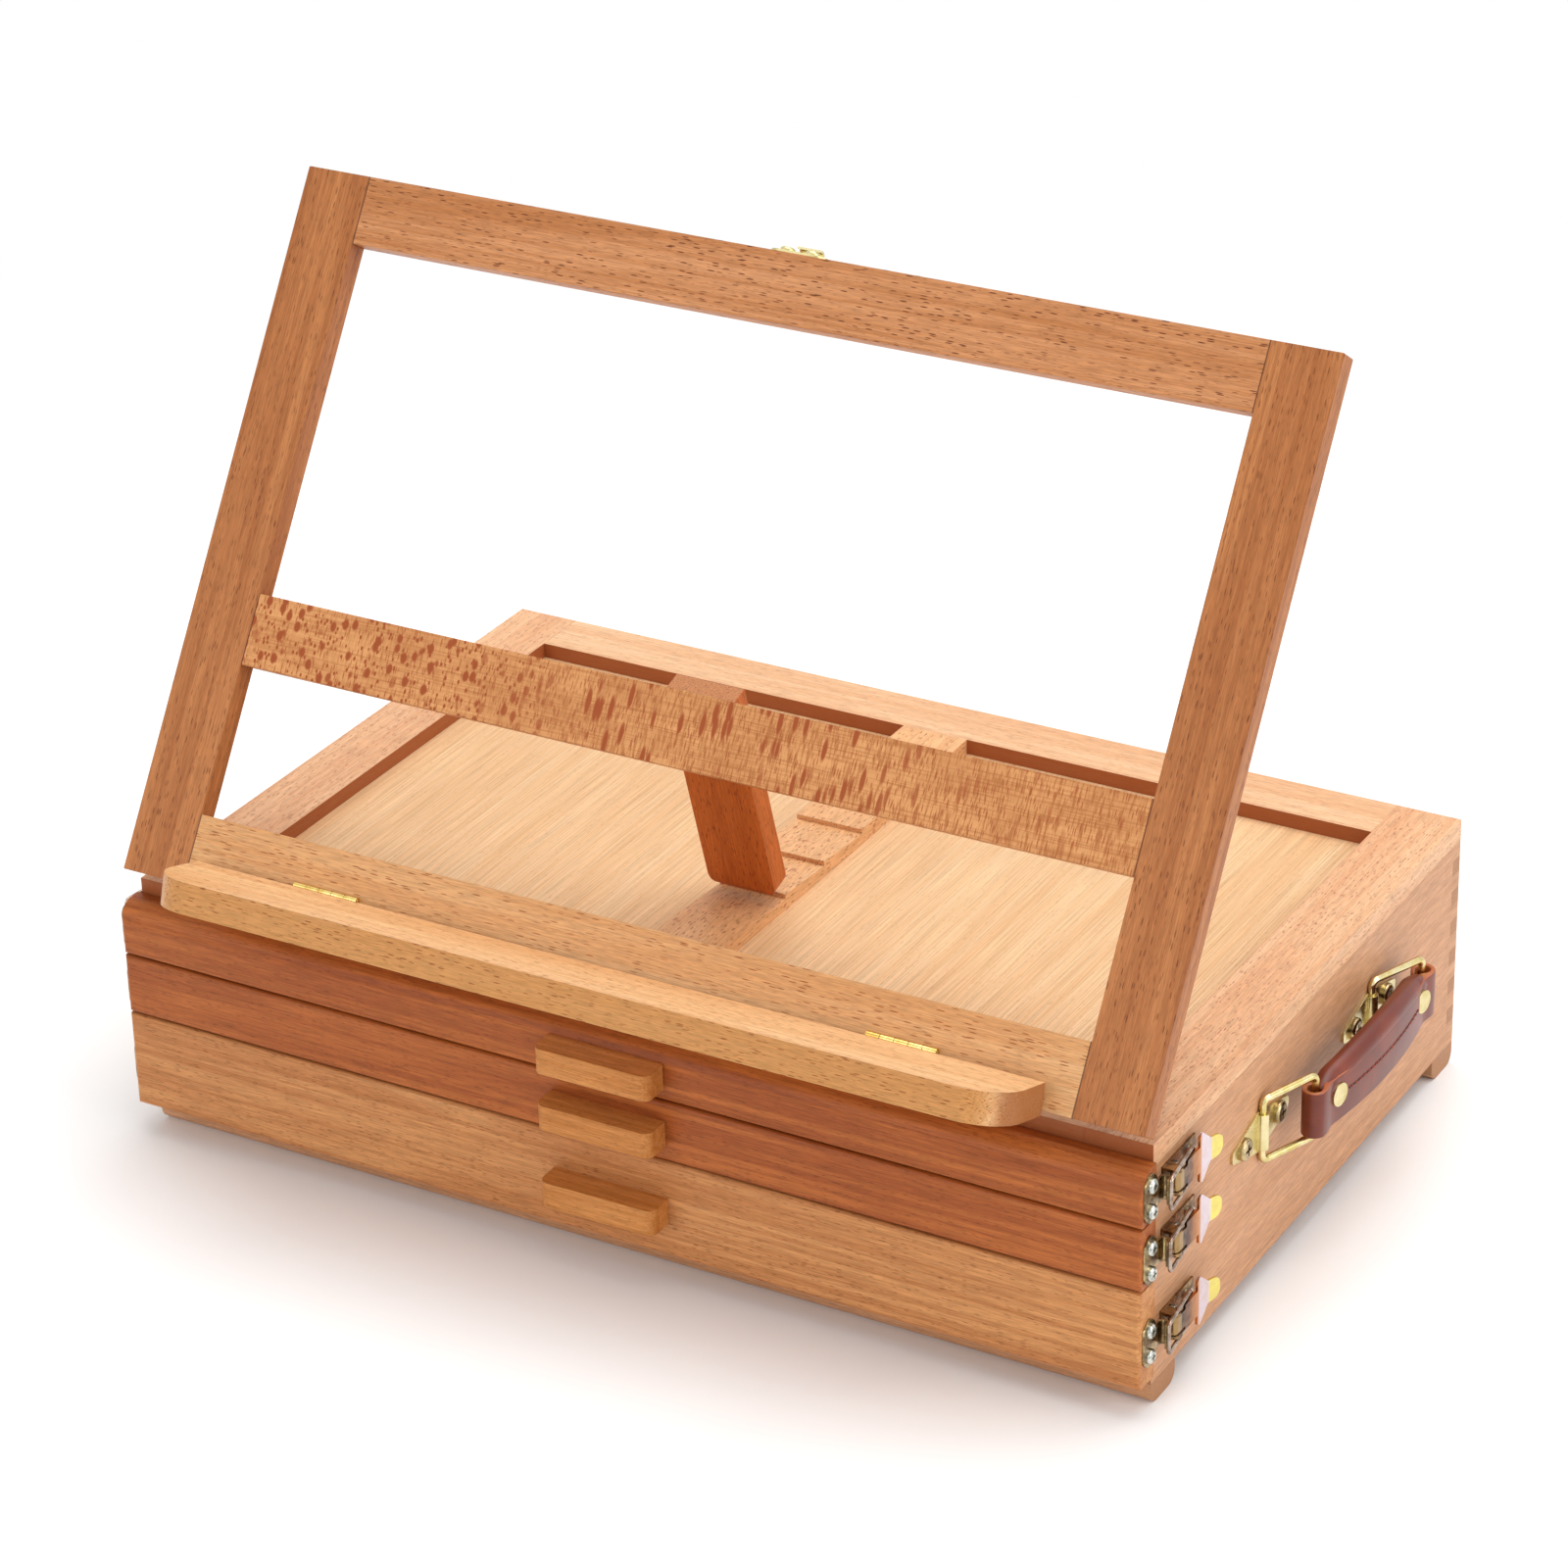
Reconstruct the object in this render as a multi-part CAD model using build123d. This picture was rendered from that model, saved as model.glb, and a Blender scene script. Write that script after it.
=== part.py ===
from build123d import *
import math
import os

# Table box easel: a flat wooden case with three full-width drawers, a recessed deck, a frame that
# folds up off the deck on a prop, a canvas ledge, draw latches and a leather carrying handle.
# Millimetres. While it is built, X runs to the right, Y to the back and Z up, from the middle of
# the deck's top front edge. At the end everything moves so that the origin is at the bottom centre.

# Case
CASE_WIDTH = 409.0
CASE_DEPTH = 260.5
SIDE_WALL = 9.0
BACK_WALL = 6.5
CASE_BOTTOM = -90.2
BOTTOM_THICKNESS = 3.5
FOOT_HEIGHT = 8.8
FOOT_DEPTH = 19.0
FOOT_ROUNDING = 5.0
FINGER_ROWS = 13

# Deck on top of the case
DECK_THICKNESS = 8.5
DECK_STILE = 25.5
DECK_RAIL = 24.0
CENTER_STILE = 27.4
CENTER_X = -2.2
PANEL_THICKNESS = 2.5
PANEL_LAP = 5.0
PANEL_FIT = 0.2
TENON_LENGTH = 8.0
TENON_THICKNESS = 2.6
TENON_SHOULDER = 4.0
NOTCH_WALLS = (96.0, 124.5, 153.0)
NOTCH_PITCH = 28.5
NOTCH_DEPTH = 1.8

# Drawers, from the top down
FRONT_SIDE_OVERHANG = 1.5
FRONT_WIDTH = CASE_WIDTH + 2 * FRONT_SIDE_OVERHANG
FRONT_THICKNESS = 11.6
FRONT_TOP = -5.8
FRONT_HEIGHTS = {"top": 20.2, "middle": 23.5, "bottom": 38.2}
FRONT_GAP = 0.8
FRONT_BACK_GAP = 0.3
FRONT_EASE = 1.6
TOP_FRONT_ROUNDING = 8.0
DADO_DEPTH = 3.5
DRAWER_WALL = 6.0
DRAWER_BOTTOM = 2.5
DRAWER_SIDE_GAP = 0.7
DRAWER_RUN_GAP = 0.3
DRAWER_HEAD_GAP = 0.5
DRAWER_BACK_GAP = 2.0
DRAWER_TRAVEL = 200.0
RUNNER_WIDTH = 6.0
RUNNER_HEIGHT = 4.0

# Drawer pulls
PULL_WIDTH = 46.5
PULL_X = 0.8
PULL_HEIGHT = 10.0
PULL_DEPTH = 11.1
PULL_CORNER = 3.5
PULL_DROP = {"top": 5.4, "middle": 7.2, "bottom": 14.2}

# Easel frame
FRAME_SIDE_OVERHANG = 0.75
FRAME_BACK_OVERHANG = 4.5
FRAME_WIDTH = CASE_WIDTH + 2 * FRAME_SIDE_OVERHANG
FRAME_LENGTH = CASE_DEPTH + FRAME_BACK_OVERHANG
FRAME_THICKNESS = 8.6
FRAME_STILE = 26.3
FRAME_TOP_RAIL = 25.1
FRAME_BOTTOM_RAIL = 26.0
MID_RAIL_LOW = 81.9
MID_RAIL_HIGH = 108.4
FRAME_ANGLE = 56.83
FRAME_SHIFT = 0.7
WOOD_EASE = 0.5

# Hinge between the frame and the deck
FRAME_PIN_Y = -0.4
FRAME_PIN_Z = 1.6
FRAME_BACK_OFFSET = 1.446
FRAME_KNUCKLE = 1.35
FRAME_HINGE_LENGTH = 40.0
FRAME_HINGE_X = 130.0
FRAME_HINGE_REACH = 12.0
LEAF = 0.9
PIN_RADIUS = 0.6
PIN_CLEARANCE = 0.05
KNUCKLE_CLEARANCE = 0.2
KNUCKLE_ROWS = 5
PIN_ROWS = (0, 2, 4)
SLEEVE_ROWS = (1, 3)

# Prop leg behind the middle rail
PROP_WIDTH = 27.5
PROP_THICKNESS = 9.0
PROP_FOOT_GAP = 1.155
PROP_START = 2.2
PROP_ANGLE = 73.4
PROP_PIN_BELOW_RAIL = 0.6
PROP_PIN_OFFSET = 2.4
PROP_KNUCKLE = 1.25
PROP_HINGE_LENGTH = 22.0
PROP_HINGE_REACH = 12.0
PROP_FOOT_ROUNDING = 4.45
PROP_CORNER_ROUNDING = 7.0
PROP_TURN_RATIO = 2.4

# Canvas ledge
LEDGE_WIDTH = 341.0
LEDGE_X = -2.5
LEDGE_THICKNESS = 11.5
LEDGE_DEPTH = 32.5
LEDGE_TILT = 18.0
LEDGE_CORNER = 17.0
LEDGE_PIN_ALONG = 9.8
LEDGE_PIN_OFFSET = 1.6
LEDGE_KNUCKLE = 1.4
LEDGE_HINGE_LENGTH = 27.0
LEDGE_HINGE_X = 116.0
LEDGE_HINGE_REACH = 6.0
LEDGE_LEAF = 0.6

# Screw heads: crown rounding as a share of the height, recess as shares of the radius
SCREW_CROWN = 0.6
RECESS_LENGTH = 1.1
RECESS_WIDTH = 0.26

# Draw latches, in their own frame: out from the case, back along it, and across
LATCH_HEIGHTS = {"top": -16.5, "middle": -40.5, "bottom": -73.0}
STRIKE_PLATE = 0.8
STRIKE_HEIGHT = 20.5
STRIKE_FRONT = -10.2
STRIKE_BACK = -1.6
STRIKE_CORNER = 3.0
STRIKE_TAPER = 3.6
HOOK_BACK = 3.4
HOOK_HALF_WIDTH = 4.7
HOOK_RISE = 3.6
HOOK_LIP_FRONT = -0.2
STRIKE_SCREW_Y = -6.0
STRIKE_SCREW_SPACING = 10.0
STRIKE_SCREW_RADIUS = 2.7
STRIKE_SCREW_HEIGHT = 1.6
BARREL_OUT = 4.2
BARREL_BACK = 8.5
BARREL_RADIUS = 1.9
BARREL_HALF = 3.5
LUG_THICKNESS = 1.2
LUG_RADIUS = 2.4
LATCH_PIN_RADIUS = 0.9
BASE_THICKNESS = 0.8
BASE_HALF_WIDTH = 5.0
BASE_END = 31.0
BASE_SCREWS = (15.0, 27.0)
BASE_SCREW_RADIUS = 2.4
BASE_SCREW_HEIGHT = 1.3
LEVER_SHEET = 0.9
ARM_HALF_WIDTH = 3.3
NECK_END = 13.8
NECK_HALF_WIDTH = 4.9
SHIELD_START = 23.4
SHIELD_END = 31.5
SHIELD_HALF_WIDTH = 9.6
SHIELD_TAPER = 5.0
SHIELD_CHAMFER = 1.0
SHIELD_EDGE = 2.0
SHIELD_CORNER = 0.5
TIP_LENGTH = 6.5
TIP_OVERLAP = 1.0
TIP_HALF_WIDTH = 6.0
TIP_TAPER = 2.0
TIP_CORNER = 3.5
TIP_LIFT = 16.0
BAIL_PIVOT_BACK = 21.5
BAIL_WIRE = 0.75
BAIL_HALF_WIDTH = 6.0
BAIL_BEND = 1.8
BAIL_END_BEND = 1.2
BAIL_BAR_GAP = 0.3
BAIL_BAR_BACK = -0.9
EAR_INNER = 3.4
EAR_THICKNESS = 1.0
EAR_HALF_LENGTH = 1.9
LATCH_OPEN = 110.0
REAR_BAIL_SWING = 100.0
CATCH_X = -2.0
CATCH_HEIGHT = 24.0

# Carrying handle on the right side
HANDLE_PIVOTS = (83.8, 177.0)
HANDLE_Z = -38.5
PLATE_LENGTH = 46.0
PLATE_HEIGHT = 17.0
PLATE_THICKNESS = 1.0
PLATE_END_HEIGHT = 4.0
BULGE_HALF_HEIGHT = 7.0
PLATE_END_ROUNDING = 1.8
PLATE_SIDE_ROUNDING = 8.0
HANDLE_SCREW_OFFSET = 14.2
HANDLE_SCREW_RADIUS = 4.2
HANDLE_SCREW_HEIGHT = 2.0
RING_WIRE = 1.4
RING_HALF_HEIGHT = 12.2
RING_REACH = 25.5
RING_ANGLE = 21.0
RING_BEND = 2.4
RING_CLEARANCE = 0.08
GRIP_HEIGHT = 18.0
GRIP_REST_GAP = 0.3
GRIP_OUT = 0.2
GRIP_BOW = 5.0
FLANGE_THICKNESS = 4.5
FLANGE_BELOW_LOOP = 1.0
ROLL_RADIUS = 4.3
ROLL_INSET = 2.0
ROLL_RISE = 4.8
LOOP_RADIUS = 5.0
LOOP_HOLLOW = 3.0
LOOP_BAR_GAP = 0.5
RIVET_RADIUS = 4.4
RIVET_HEIGHT = 1.0
RIVET_SINK = 0.6
RIVET_FROM_BAR = 11.0
RIVET_RISE = 2.1

HALF_CASE = CASE_WIDTH / 2
FRONT_FACE = -FRONT_BACK_GAP - FRONT_THICKNESS
NODES = {}


def block(x, y, z):
    """A box from its low and high place along each axis."""
    size = Box(x[1] - x[0], y[1] - y[0], z[1] - z[0])
    return Pos((x[0] + x[1]) / 2, (y[0] + y[1]) / 2, (z[0] + z[1]) / 2) * size


def both_sides(x, y, z):
    """The same box at the right and, mirrored, at the left."""
    return [block(x, y, z), block((-x[1], -x[0]), y, z)]


def rod(start, end, radius):
    """A round bar between two points."""
    along = Vector(*end) - Vector(*start)
    plane = Plane(origin=start, z_dir=along)
    return plane * Cylinder(radius, along.length, align=(Align.CENTER, Align.CENTER, Align.MIN))


def plate(plane, points, radii, amount):
    """A slab whose outline has rounded corners, raised from the plane by the amount."""
    outline = FilletPolyline(*points, radius=radii, close=True)
    return extrude(plane * make_face(outline), amount=amount)


def cut(solid, cutters):
    for cutter in cutters:
        solid = solid - cutter
    return solid


def keep(name, *solids):
    """Adds finished solids to a named piece."""
    NODES.setdefault(name, []).extend(solids)


# Case

def finger_rows():
    """Height spans of the back panel's fingers, every second row of the corner joint."""
    top = -DECK_THICKNESS
    row = (top - CASE_BOTTOM) / FINGER_ROWS
    return [(top - row * (n + 1), top - row * n) for n in range(1, FINGER_ROWS, 2)]


def make_case_walls():
    height = (CASE_BOTTOM, -DECK_THICKNESS)
    wall = (HALF_CASE - SIDE_WALL, HALF_CASE)
    back = (CASE_DEPTH - BACK_WALL, CASE_DEPTH)
    right, left = both_sides(wall, (0, CASE_DEPTH), height)
    panel = block((-wall[0], wall[0]), back, height)
    for row in finger_rows():
        finger_right, finger_left = both_sides(wall, back, row)
        right = right - finger_right
        left = left - finger_left
        panel = panel + finger_right + finger_left
    keep("side_right", right)
    keep("side_left", left)
    keep("back_panel", panel)


def make_bottom_and_feet():
    under = CASE_BOTTOM - BOTTOM_THICKNESS
    width = (-HALF_CASE, HALF_CASE)
    keep("bottom_board", block(width, (0, CASE_DEPTH), (under, CASE_BOTTOM)))
    side = Plane(origin=(-HALF_CASE, 0, 0), x_dir=(0, 1, 0), z_dir=(1, 0, 0))
    for start in (0, CASE_DEPTH - FOOT_DEPTH):
        end = start + FOOT_DEPTH
        low = under - FOOT_HEIGHT
        corners = [(start, under), (start, low), (end, low), (end, under)]
        radii = [WOOD_EASE, FOOT_ROUNDING, FOOT_ROUNDING, WOOD_EASE]
        keep("foot_rails", plate(side, corners, radii, CASE_WIDTH))


def deck_openings():
    """Left and right openings of the deck frame: x span and y span of each."""
    depth = (DECK_RAIL, CASE_DEPTH - DECK_RAIL)
    inner = HALF_CASE - DECK_STILE
    left = (-inner, CENTER_X - CENTER_STILE / 2)
    right = (CENTER_X + CENTER_STILE / 2, inner)
    return [(left, depth), (right, depth)]


def grown(span, amount):
    return (span[0] - amount, span[1] + amount)


def notch_cut(wall_y):
    """One sawtooth notch: a ramp down to the back, ended by a wall that stops the prop's foot."""
    start = wall_y - NOTCH_PITCH
    side = Plane(origin=(CENTER_X - CENTER_STILE, 0, 0), x_dir=(0, 1, 0), z_dir=(1, 0, 0))
    outline = Polyline((start, 0), (wall_y, 0), (wall_y, -NOTCH_DEPTH), close=True)
    return extrude(side * make_face(outline), amount=2 * CENTER_STILE)


def tenon(center, along_x, along_y):
    middle = -DECK_THICKNESS / 2
    half = TENON_THICKNESS / 2
    x = (center[0] - along_x / 2, center[0] + along_x / 2)
    y = (center[1] - along_y / 2, center[1] + along_y / 2)
    return block(x, y, (middle - half, middle + half))


def make_deck():
    height = (-DECK_THICKNESS, 0)
    inner = HALF_CASE - DECK_STILE
    seat_height = (-DECK_THICKNESS, PANEL_THICKNESS - DECK_THICKNESS)
    seats = [block(grown(x, PANEL_LAP), grown(y, PANEL_LAP), seat_height)
             for x, y in deck_openings()]
    rail_middles = (DECK_RAIL / 2, CASE_DEPTH - DECK_RAIL / 2)
    rail_tenons = [tenon((side * inner, y), 2 * TENON_LENGTH, DECK_RAIL - 2 * TENON_SHOULDER)
                   for side in (-1, 1) for y in rail_middles]
    stile_tenons = [tenon((CENTER_X, y), CENTER_STILE - 2 * TENON_SHOULDER, 2 * TENON_LENGTH)
                    for y in (DECK_RAIL, CASE_DEPTH - DECK_RAIL)]

    for stile in both_sides((inner, HALF_CASE), (0, CASE_DEPTH), height):
        keep("deck_stiles", cut(stile, seats + rail_tenons))
    for y in rail_middles:
        rail = block((-inner, inner), (y - DECK_RAIL / 2, y + DECK_RAIL / 2), height)
        rail = cut(rail, seats)
        for piece in rail_tenons:
            if abs(piece.center().Y - y) < DECK_RAIL:
                rail = rail + piece
        keep("deck_rails", cut(rail, stile_tenons))
    center = block((CENTER_X - CENTER_STILE / 2, CENTER_X + CENTER_STILE / 2),
                   (DECK_RAIL, CASE_DEPTH - DECK_RAIL), height)
    center = cut(center, seats + [notch_cut(y) for y in NOTCH_WALLS])
    keep("deck_center_stile", center + stile_tenons[0] + stile_tenons[1])
    for x, y in deck_openings():
        reach = PANEL_LAP - PANEL_FIT
        keep("deck_panels", block(grown(x, reach), grown(y, reach), seat_height))


# Drawers

def front_spans():
    """Top and bottom of each drawer front, from the top drawer down."""
    spans = {}
    top = FRONT_TOP
    for name, height in FRONT_HEIGHTS.items():
        spans[name] = (top - height, top)
        top -= height + FRONT_GAP
    return spans


def runner_spans():
    """Height spans of the runner strips, each centred on a gap between two drawer fronts."""
    lows = [span[0] for span in front_spans().values()][:-1]
    middles = [low - FRONT_GAP / 2 for low in lows]
    return [(z - RUNNER_HEIGHT / 2, z + RUNNER_HEIGHT / 2) for z in middles]


def box_spans():
    """Height span of each drawer box between what it slides on and what is above it."""
    runners = runner_spans()
    floors = [span[1] for span in runners] + [CASE_BOTTOM]
    ceilings = [-DECK_THICKNESS - DRAWER_HEAD_GAP + DRAWER_RUN_GAP] + [s[0] for s in runners]
    return {name: (floor + DRAWER_RUN_GAP, ceiling - DRAWER_RUN_GAP)
            for name, floor, ceiling in zip(FRONT_HEIGHTS, floors, ceilings)}


def make_runners():
    wall = HALF_CASE - SIDE_WALL
    for span in runner_spans():
        keep("drawer_runners",
             *both_sides((wall - RUNNER_WIDTH, wall), (0, CASE_DEPTH - BACK_WALL), span))


def drawer_box(low, high):
    """Two sides, a back and a bottom board. The sides and the bottom enter the front's grooves."""
    outer = HALF_CASE - SIDE_WALL - DRAWER_SIDE_GAP
    start = -FRONT_BACK_GAP - DADO_DEPTH
    end = CASE_DEPTH - BACK_WALL - DRAWER_BACK_GAP
    walls = (low + DRAWER_BOTTOM, high)
    sides = both_sides((outer - DRAWER_WALL, outer), (start, end), walls)
    back = block((DRAWER_WALL - outer, outer - DRAWER_WALL), (end - DRAWER_WALL, end), walls)
    board = block((-outer, outer), (start, end), (low, low + DRAWER_BOTTOM))
    return sides + [back, board]


def drawer_front(name, low, high):
    half = FRONT_WIDTH / 2
    back = -FRONT_BACK_GAP
    top_rounding = TOP_FRONT_ROUNDING if name == "top" else FRONT_EASE
    side = Plane(origin=(-half, 0, 0), x_dir=(0, 1, 0), z_dir=(1, 0, 0))
    corners = [(FRONT_FACE, low), (back, low), (back, high), (FRONT_FACE, high)]
    profile = plate(side, corners, [FRONT_EASE, WOOD_EASE, WOOD_EASE, top_rounding], FRONT_WIDTH)
    flat = Plane(origin=(0, 0, low))
    corners = [(-half, FRONT_FACE), (half, FRONT_FACE), (half, back), (-half, back)]
    plan = plate(flat, corners, [FRONT_EASE, FRONT_EASE, WOOD_EASE, WOOD_EASE], high - low)
    return profile & plan


def drawer_pull(top):
    half = PULL_WIDTH / 2
    flat = Plane(origin=(PULL_X, 0, top - PULL_HEIGHT))
    front = FRONT_FACE - PULL_DEPTH
    corners = [(-half, front), (half, front), (half, FRONT_FACE), (-half, FRONT_FACE)]
    return plate(flat, corners, [PULL_CORNER, PULL_CORNER, WOOD_EASE, WOOD_EASE], PULL_HEIGHT)


def make_drawers():
    boxes = box_spans()
    for name, (low, high) in front_spans().items():
        walls = drawer_box(*boxes[name])
        keep(f"drawer_{name}_box", *walls)
        keep(f"drawer_{name}_front", cut(drawer_front(name, low, high), walls))
        keep(f"drawer_{name}_pull", drawer_pull(high - PULL_DROP[name]))


# Screws

def pan_screw(radius, height):
    """A pan head with a cross recess, seated at the origin and pointing along +Z."""
    head = Cylinder(radius, height, align=(Align.CENTER, Align.CENTER, Align.MIN))
    rim = head.edges().filter_by(GeomType.CIRCLE).sort_by(Axis.Z)[-1:]
    head = fillet(rim, height * SCREW_CROWN)
    slot = Pos(0, 0, height) * Box(radius * RECESS_LENGTH, radius * RECESS_WIDTH, height)
    return head - slot - Rot(0, 0, 90) * slot


def screw_outward(out, back, across, radius, height):
    """A screw head that faces out of the case, in a latch's own frame."""
    seat = Plane(origin=(out, back, across), z_dir=(1, 0, 0))
    return seat * pan_screw(radius, height)


# Draw latches

def strike_plate(height):
    """Plate with a hook that curls out and forward. Its back lies one step out from the case."""
    half = height / 2
    side = Plane(origin=(FRONT_SIDE_OVERHANG, 0, 0), x_dir=(0, 1, 0), z_dir=(1, 0, 0))
    middle = (STRIKE_FRONT + STRIKE_BACK) / 2
    corners = [(STRIKE_FRONT, STRIKE_TAPER - half), (STRIKE_FRONT, half - STRIKE_TAPER),
               (middle, half), (STRIKE_BACK, half - STRIKE_TAPER),
               (STRIKE_BACK, STRIKE_TAPER - half), (middle, -half)]
    oval = plate(side, corners, [STRIKE_CORNER] * len(corners), STRIKE_PLATE)
    inner = HOOK_RISE / 2 - STRIKE_PLATE / 2
    bend_back = HOOK_BACK - inner - STRIKE_PLATE
    low = FRONT_SIDE_OVERHANG
    high = low + HOOK_RISE
    across = (-HOOK_HALF_WIDTH, HOOK_HALF_WIDTH)
    sheet = block((low, low + STRIKE_PLATE), (middle, bend_back), across)
    lip = block((high, high + STRIKE_PLATE), (HOOK_LIP_FRONT, bend_back), across)
    center = low + HOOK_RISE / 2 + STRIKE_PLATE / 2
    ends = [(center, bend_back, z) for z in across]
    bend = rod(*ends, inner + STRIKE_PLATE) - rod(*ends, inner)
    bend = bend & block((low, high + STRIKE_PLATE), (bend_back, HOOK_BACK), across)
    return oval + sheet + bend + lip


def strike_screws():
    out = FRONT_SIDE_OVERHANG + STRIKE_PLATE
    return [screw_outward(out, STRIKE_SCREW_Y, side * STRIKE_SCREW_SPACING / 2,
                          STRIKE_SCREW_RADIUS, STRIKE_SCREW_HEIGHT) for side in (-1, 1)]


def latch_base(lift):
    """Base plate with two lugs and the lever's pin. A lift lowers the plate below the hook."""
    seat = (-lift, BASE_THICKNESS - lift)
    lug_inner = BARREL_HALF + KNUCKLE_CLEARANCE
    lug_outer = lug_inner + LUG_THICKNESS
    front = BARREL_BACK - LUG_RADIUS
    base = block(seat, (front, BASE_END), (-BASE_HALF_WIDTH, BASE_HALF_WIDTH))
    for low, high in ((lug_inner, lug_outer), (-lug_outer, -lug_inner)):
        post = block((-lift, BARREL_OUT), (front, BARREL_BACK + LUG_RADIUS), (low, high))
        ends = [(BARREL_OUT, BARREL_BACK, z) for z in (low, high)]
        base = base + post + rod(*ends, LUG_RADIUS)
    pin = [(BARREL_OUT, BARREL_BACK, z) for z in (-lug_outer, lug_outer)]
    return base + rod(*pin, LATCH_PIN_RADIUS)


def base_screws(lift):
    return [screw_outward(BASE_THICKNESS - lift, back, 0, BASE_SCREW_RADIUS, BASE_SCREW_HEIGHT)
            for back in BASE_SCREWS]


def latch_lever():
    """Barrel, narrow arm, two ears for the bail, wide shield and a lifted thumb tip."""
    top = BARREL_OUT + BARREL_RADIUS
    sheet = (top - LEVER_SHEET, top)
    barrel = [(BARREL_OUT, BARREL_BACK, z) for z in (-BARREL_HALF, BARREL_HALF)]
    bore = [(BARREL_OUT, BARREL_BACK, z) for z in (-2 * BARREL_HALF, 2 * BARREL_HALF)]
    lever = rod(*barrel, BARREL_RADIUS)
    lever = lever + block(sheet, (BARREL_BACK, NECK_END), (-ARM_HALF_WIDTH, ARM_HALF_WIDTH))
    lever = lever - rod(*bore, LATCH_PIN_RADIUS + PIN_CLEARANCE)
    lever = lever + block(sheet, (NECK_END, SHIELD_START), (-NECK_HALF_WIDTH, NECK_HALF_WIDTH))
    face = Plane(origin=(sheet[0], 0, 0), x_dir=(0, 1, 0), z_dir=(1, 0, 0))
    wide = SHIELD_HALF_WIDTH
    narrow = wide - SHIELD_CHAMFER
    corners = [(SHIELD_START, -narrow), (SHIELD_START, narrow),
               (SHIELD_START + SHIELD_EDGE, wide),
               (SHIELD_END, wide - SHIELD_TAPER), (SHIELD_END, SHIELD_TAPER - wide),
               (SHIELD_START + SHIELD_EDGE, -wide)]
    lever = lever + plate(face, corners, [SHIELD_CORNER] * len(corners), LEVER_SHEET)
    root = wide - SHIELD_TAPER
    end = TIP_HALF_WIDTH - TIP_TAPER
    corners = [(-TIP_OVERLAP, -root), (-TIP_OVERLAP, root), (TIP_LENGTH, end), (TIP_LENGTH, -end)]
    upright = Plane(origin=(0, 0, 0), x_dir=(0, 1, 0), z_dir=(1, 0, 0))
    radii = [SHIELD_CORNER, SHIELD_CORNER, TIP_CORNER, TIP_CORNER]
    tip = plate(upright, corners, radii, LEVER_SHEET)
    lever = lever + Pos(sheet[0], SHIELD_END, 0) * Rot(0, 0, -TIP_LIFT) * tip
    pivot = (BARREL_OUT, BAIL_PIVOT_BACK)
    back = (pivot[1] - EAR_HALF_LENGTH, pivot[1] + EAR_HALF_LENGTH)
    for low, high in ((EAR_INNER, EAR_INNER + EAR_THICKNESS),
                      (-EAR_INNER - EAR_THICKNESS, -EAR_INNER)):
        lever = lever + block((pivot[0] - EAR_HALF_LENGTH, sheet[1]), back, (low, high))
    hole = [(pivot[0], pivot[1], z) for z in (-BAIL_HALF_WIDTH, BAIL_HALF_WIDTH)]
    return lever - rod(*hole, BAIL_WIRE + PIN_CLEARANCE)


def bail_bar_out():
    """The bail's front bar clears the outer face of the hook's lip by a named gap."""
    return FRONT_SIDE_OVERHANG + HOOK_RISE + STRIKE_PLATE + BAIL_BAR_GAP + BAIL_WIRE


def latch_bail():
    """One bent wire: two ends in the lever's ears, two legs and the front bar."""
    pivot = Vector(BARREL_OUT, BAIL_PIVOT_BACK, 0)
    bar = Vector(bail_bar_out(), BAIL_BAR_BACK, 0)
    across = Vector(0, 0, BAIL_HALF_WIDTH)
    ends = Vector(0, 0, EAR_INNER)
    route = [pivot - ends, pivot - across, bar - across, bar + across, pivot + across, pivot + ends]
    turns = [BAIL_END_BEND, BAIL_BEND, BAIL_BEND, BAIL_END_BEND]
    path = FilletPolyline(*route, radius=turns)
    start = Plane(origin=path @ 0, z_dir=path % 0)
    return sweep(start * Circle(BAIL_WIRE), path=path)


def side_latch_places():
    """Right and left place of each drawer's latches. The left ones are mirror images."""
    places = {}
    for name, z in LATCH_HEIGHTS.items():
        places[name] = {"right": Pos(HALF_CASE, 0, z), "left": Pos(-HALF_CASE, 0, z)}
    return places


def handed(solid, side):
    return mirror(solid, about=Plane.YZ) if side == "left" else solid


def rear_latch_plane():
    """Place of the rear latch: out to the back, along it downwards, lined up with the catch."""
    back = FRAME_PIN_Y + frame_from_pin()[0] + FRAME_LENGTH - FRONT_SIDE_OVERHANG
    height = FRAME_PIN_Z + FRAME_BACK_OFFSET + STRIKE_BACK
    return Plane(origin=(CATCH_X, back, height), x_dir=(0, 1, 0), z_dir=(-1, 0, 0))


def rear_bail():
    """The bail of the rear latch, swung back off its hook by turning about its ends."""
    pivot = Location((BARREL_OUT, BAIL_PIVOT_BACK, 0))
    return pivot * Rot(0, 0, REAR_BAIL_SWING) * pivot.inverse() * latch_bail()


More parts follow.
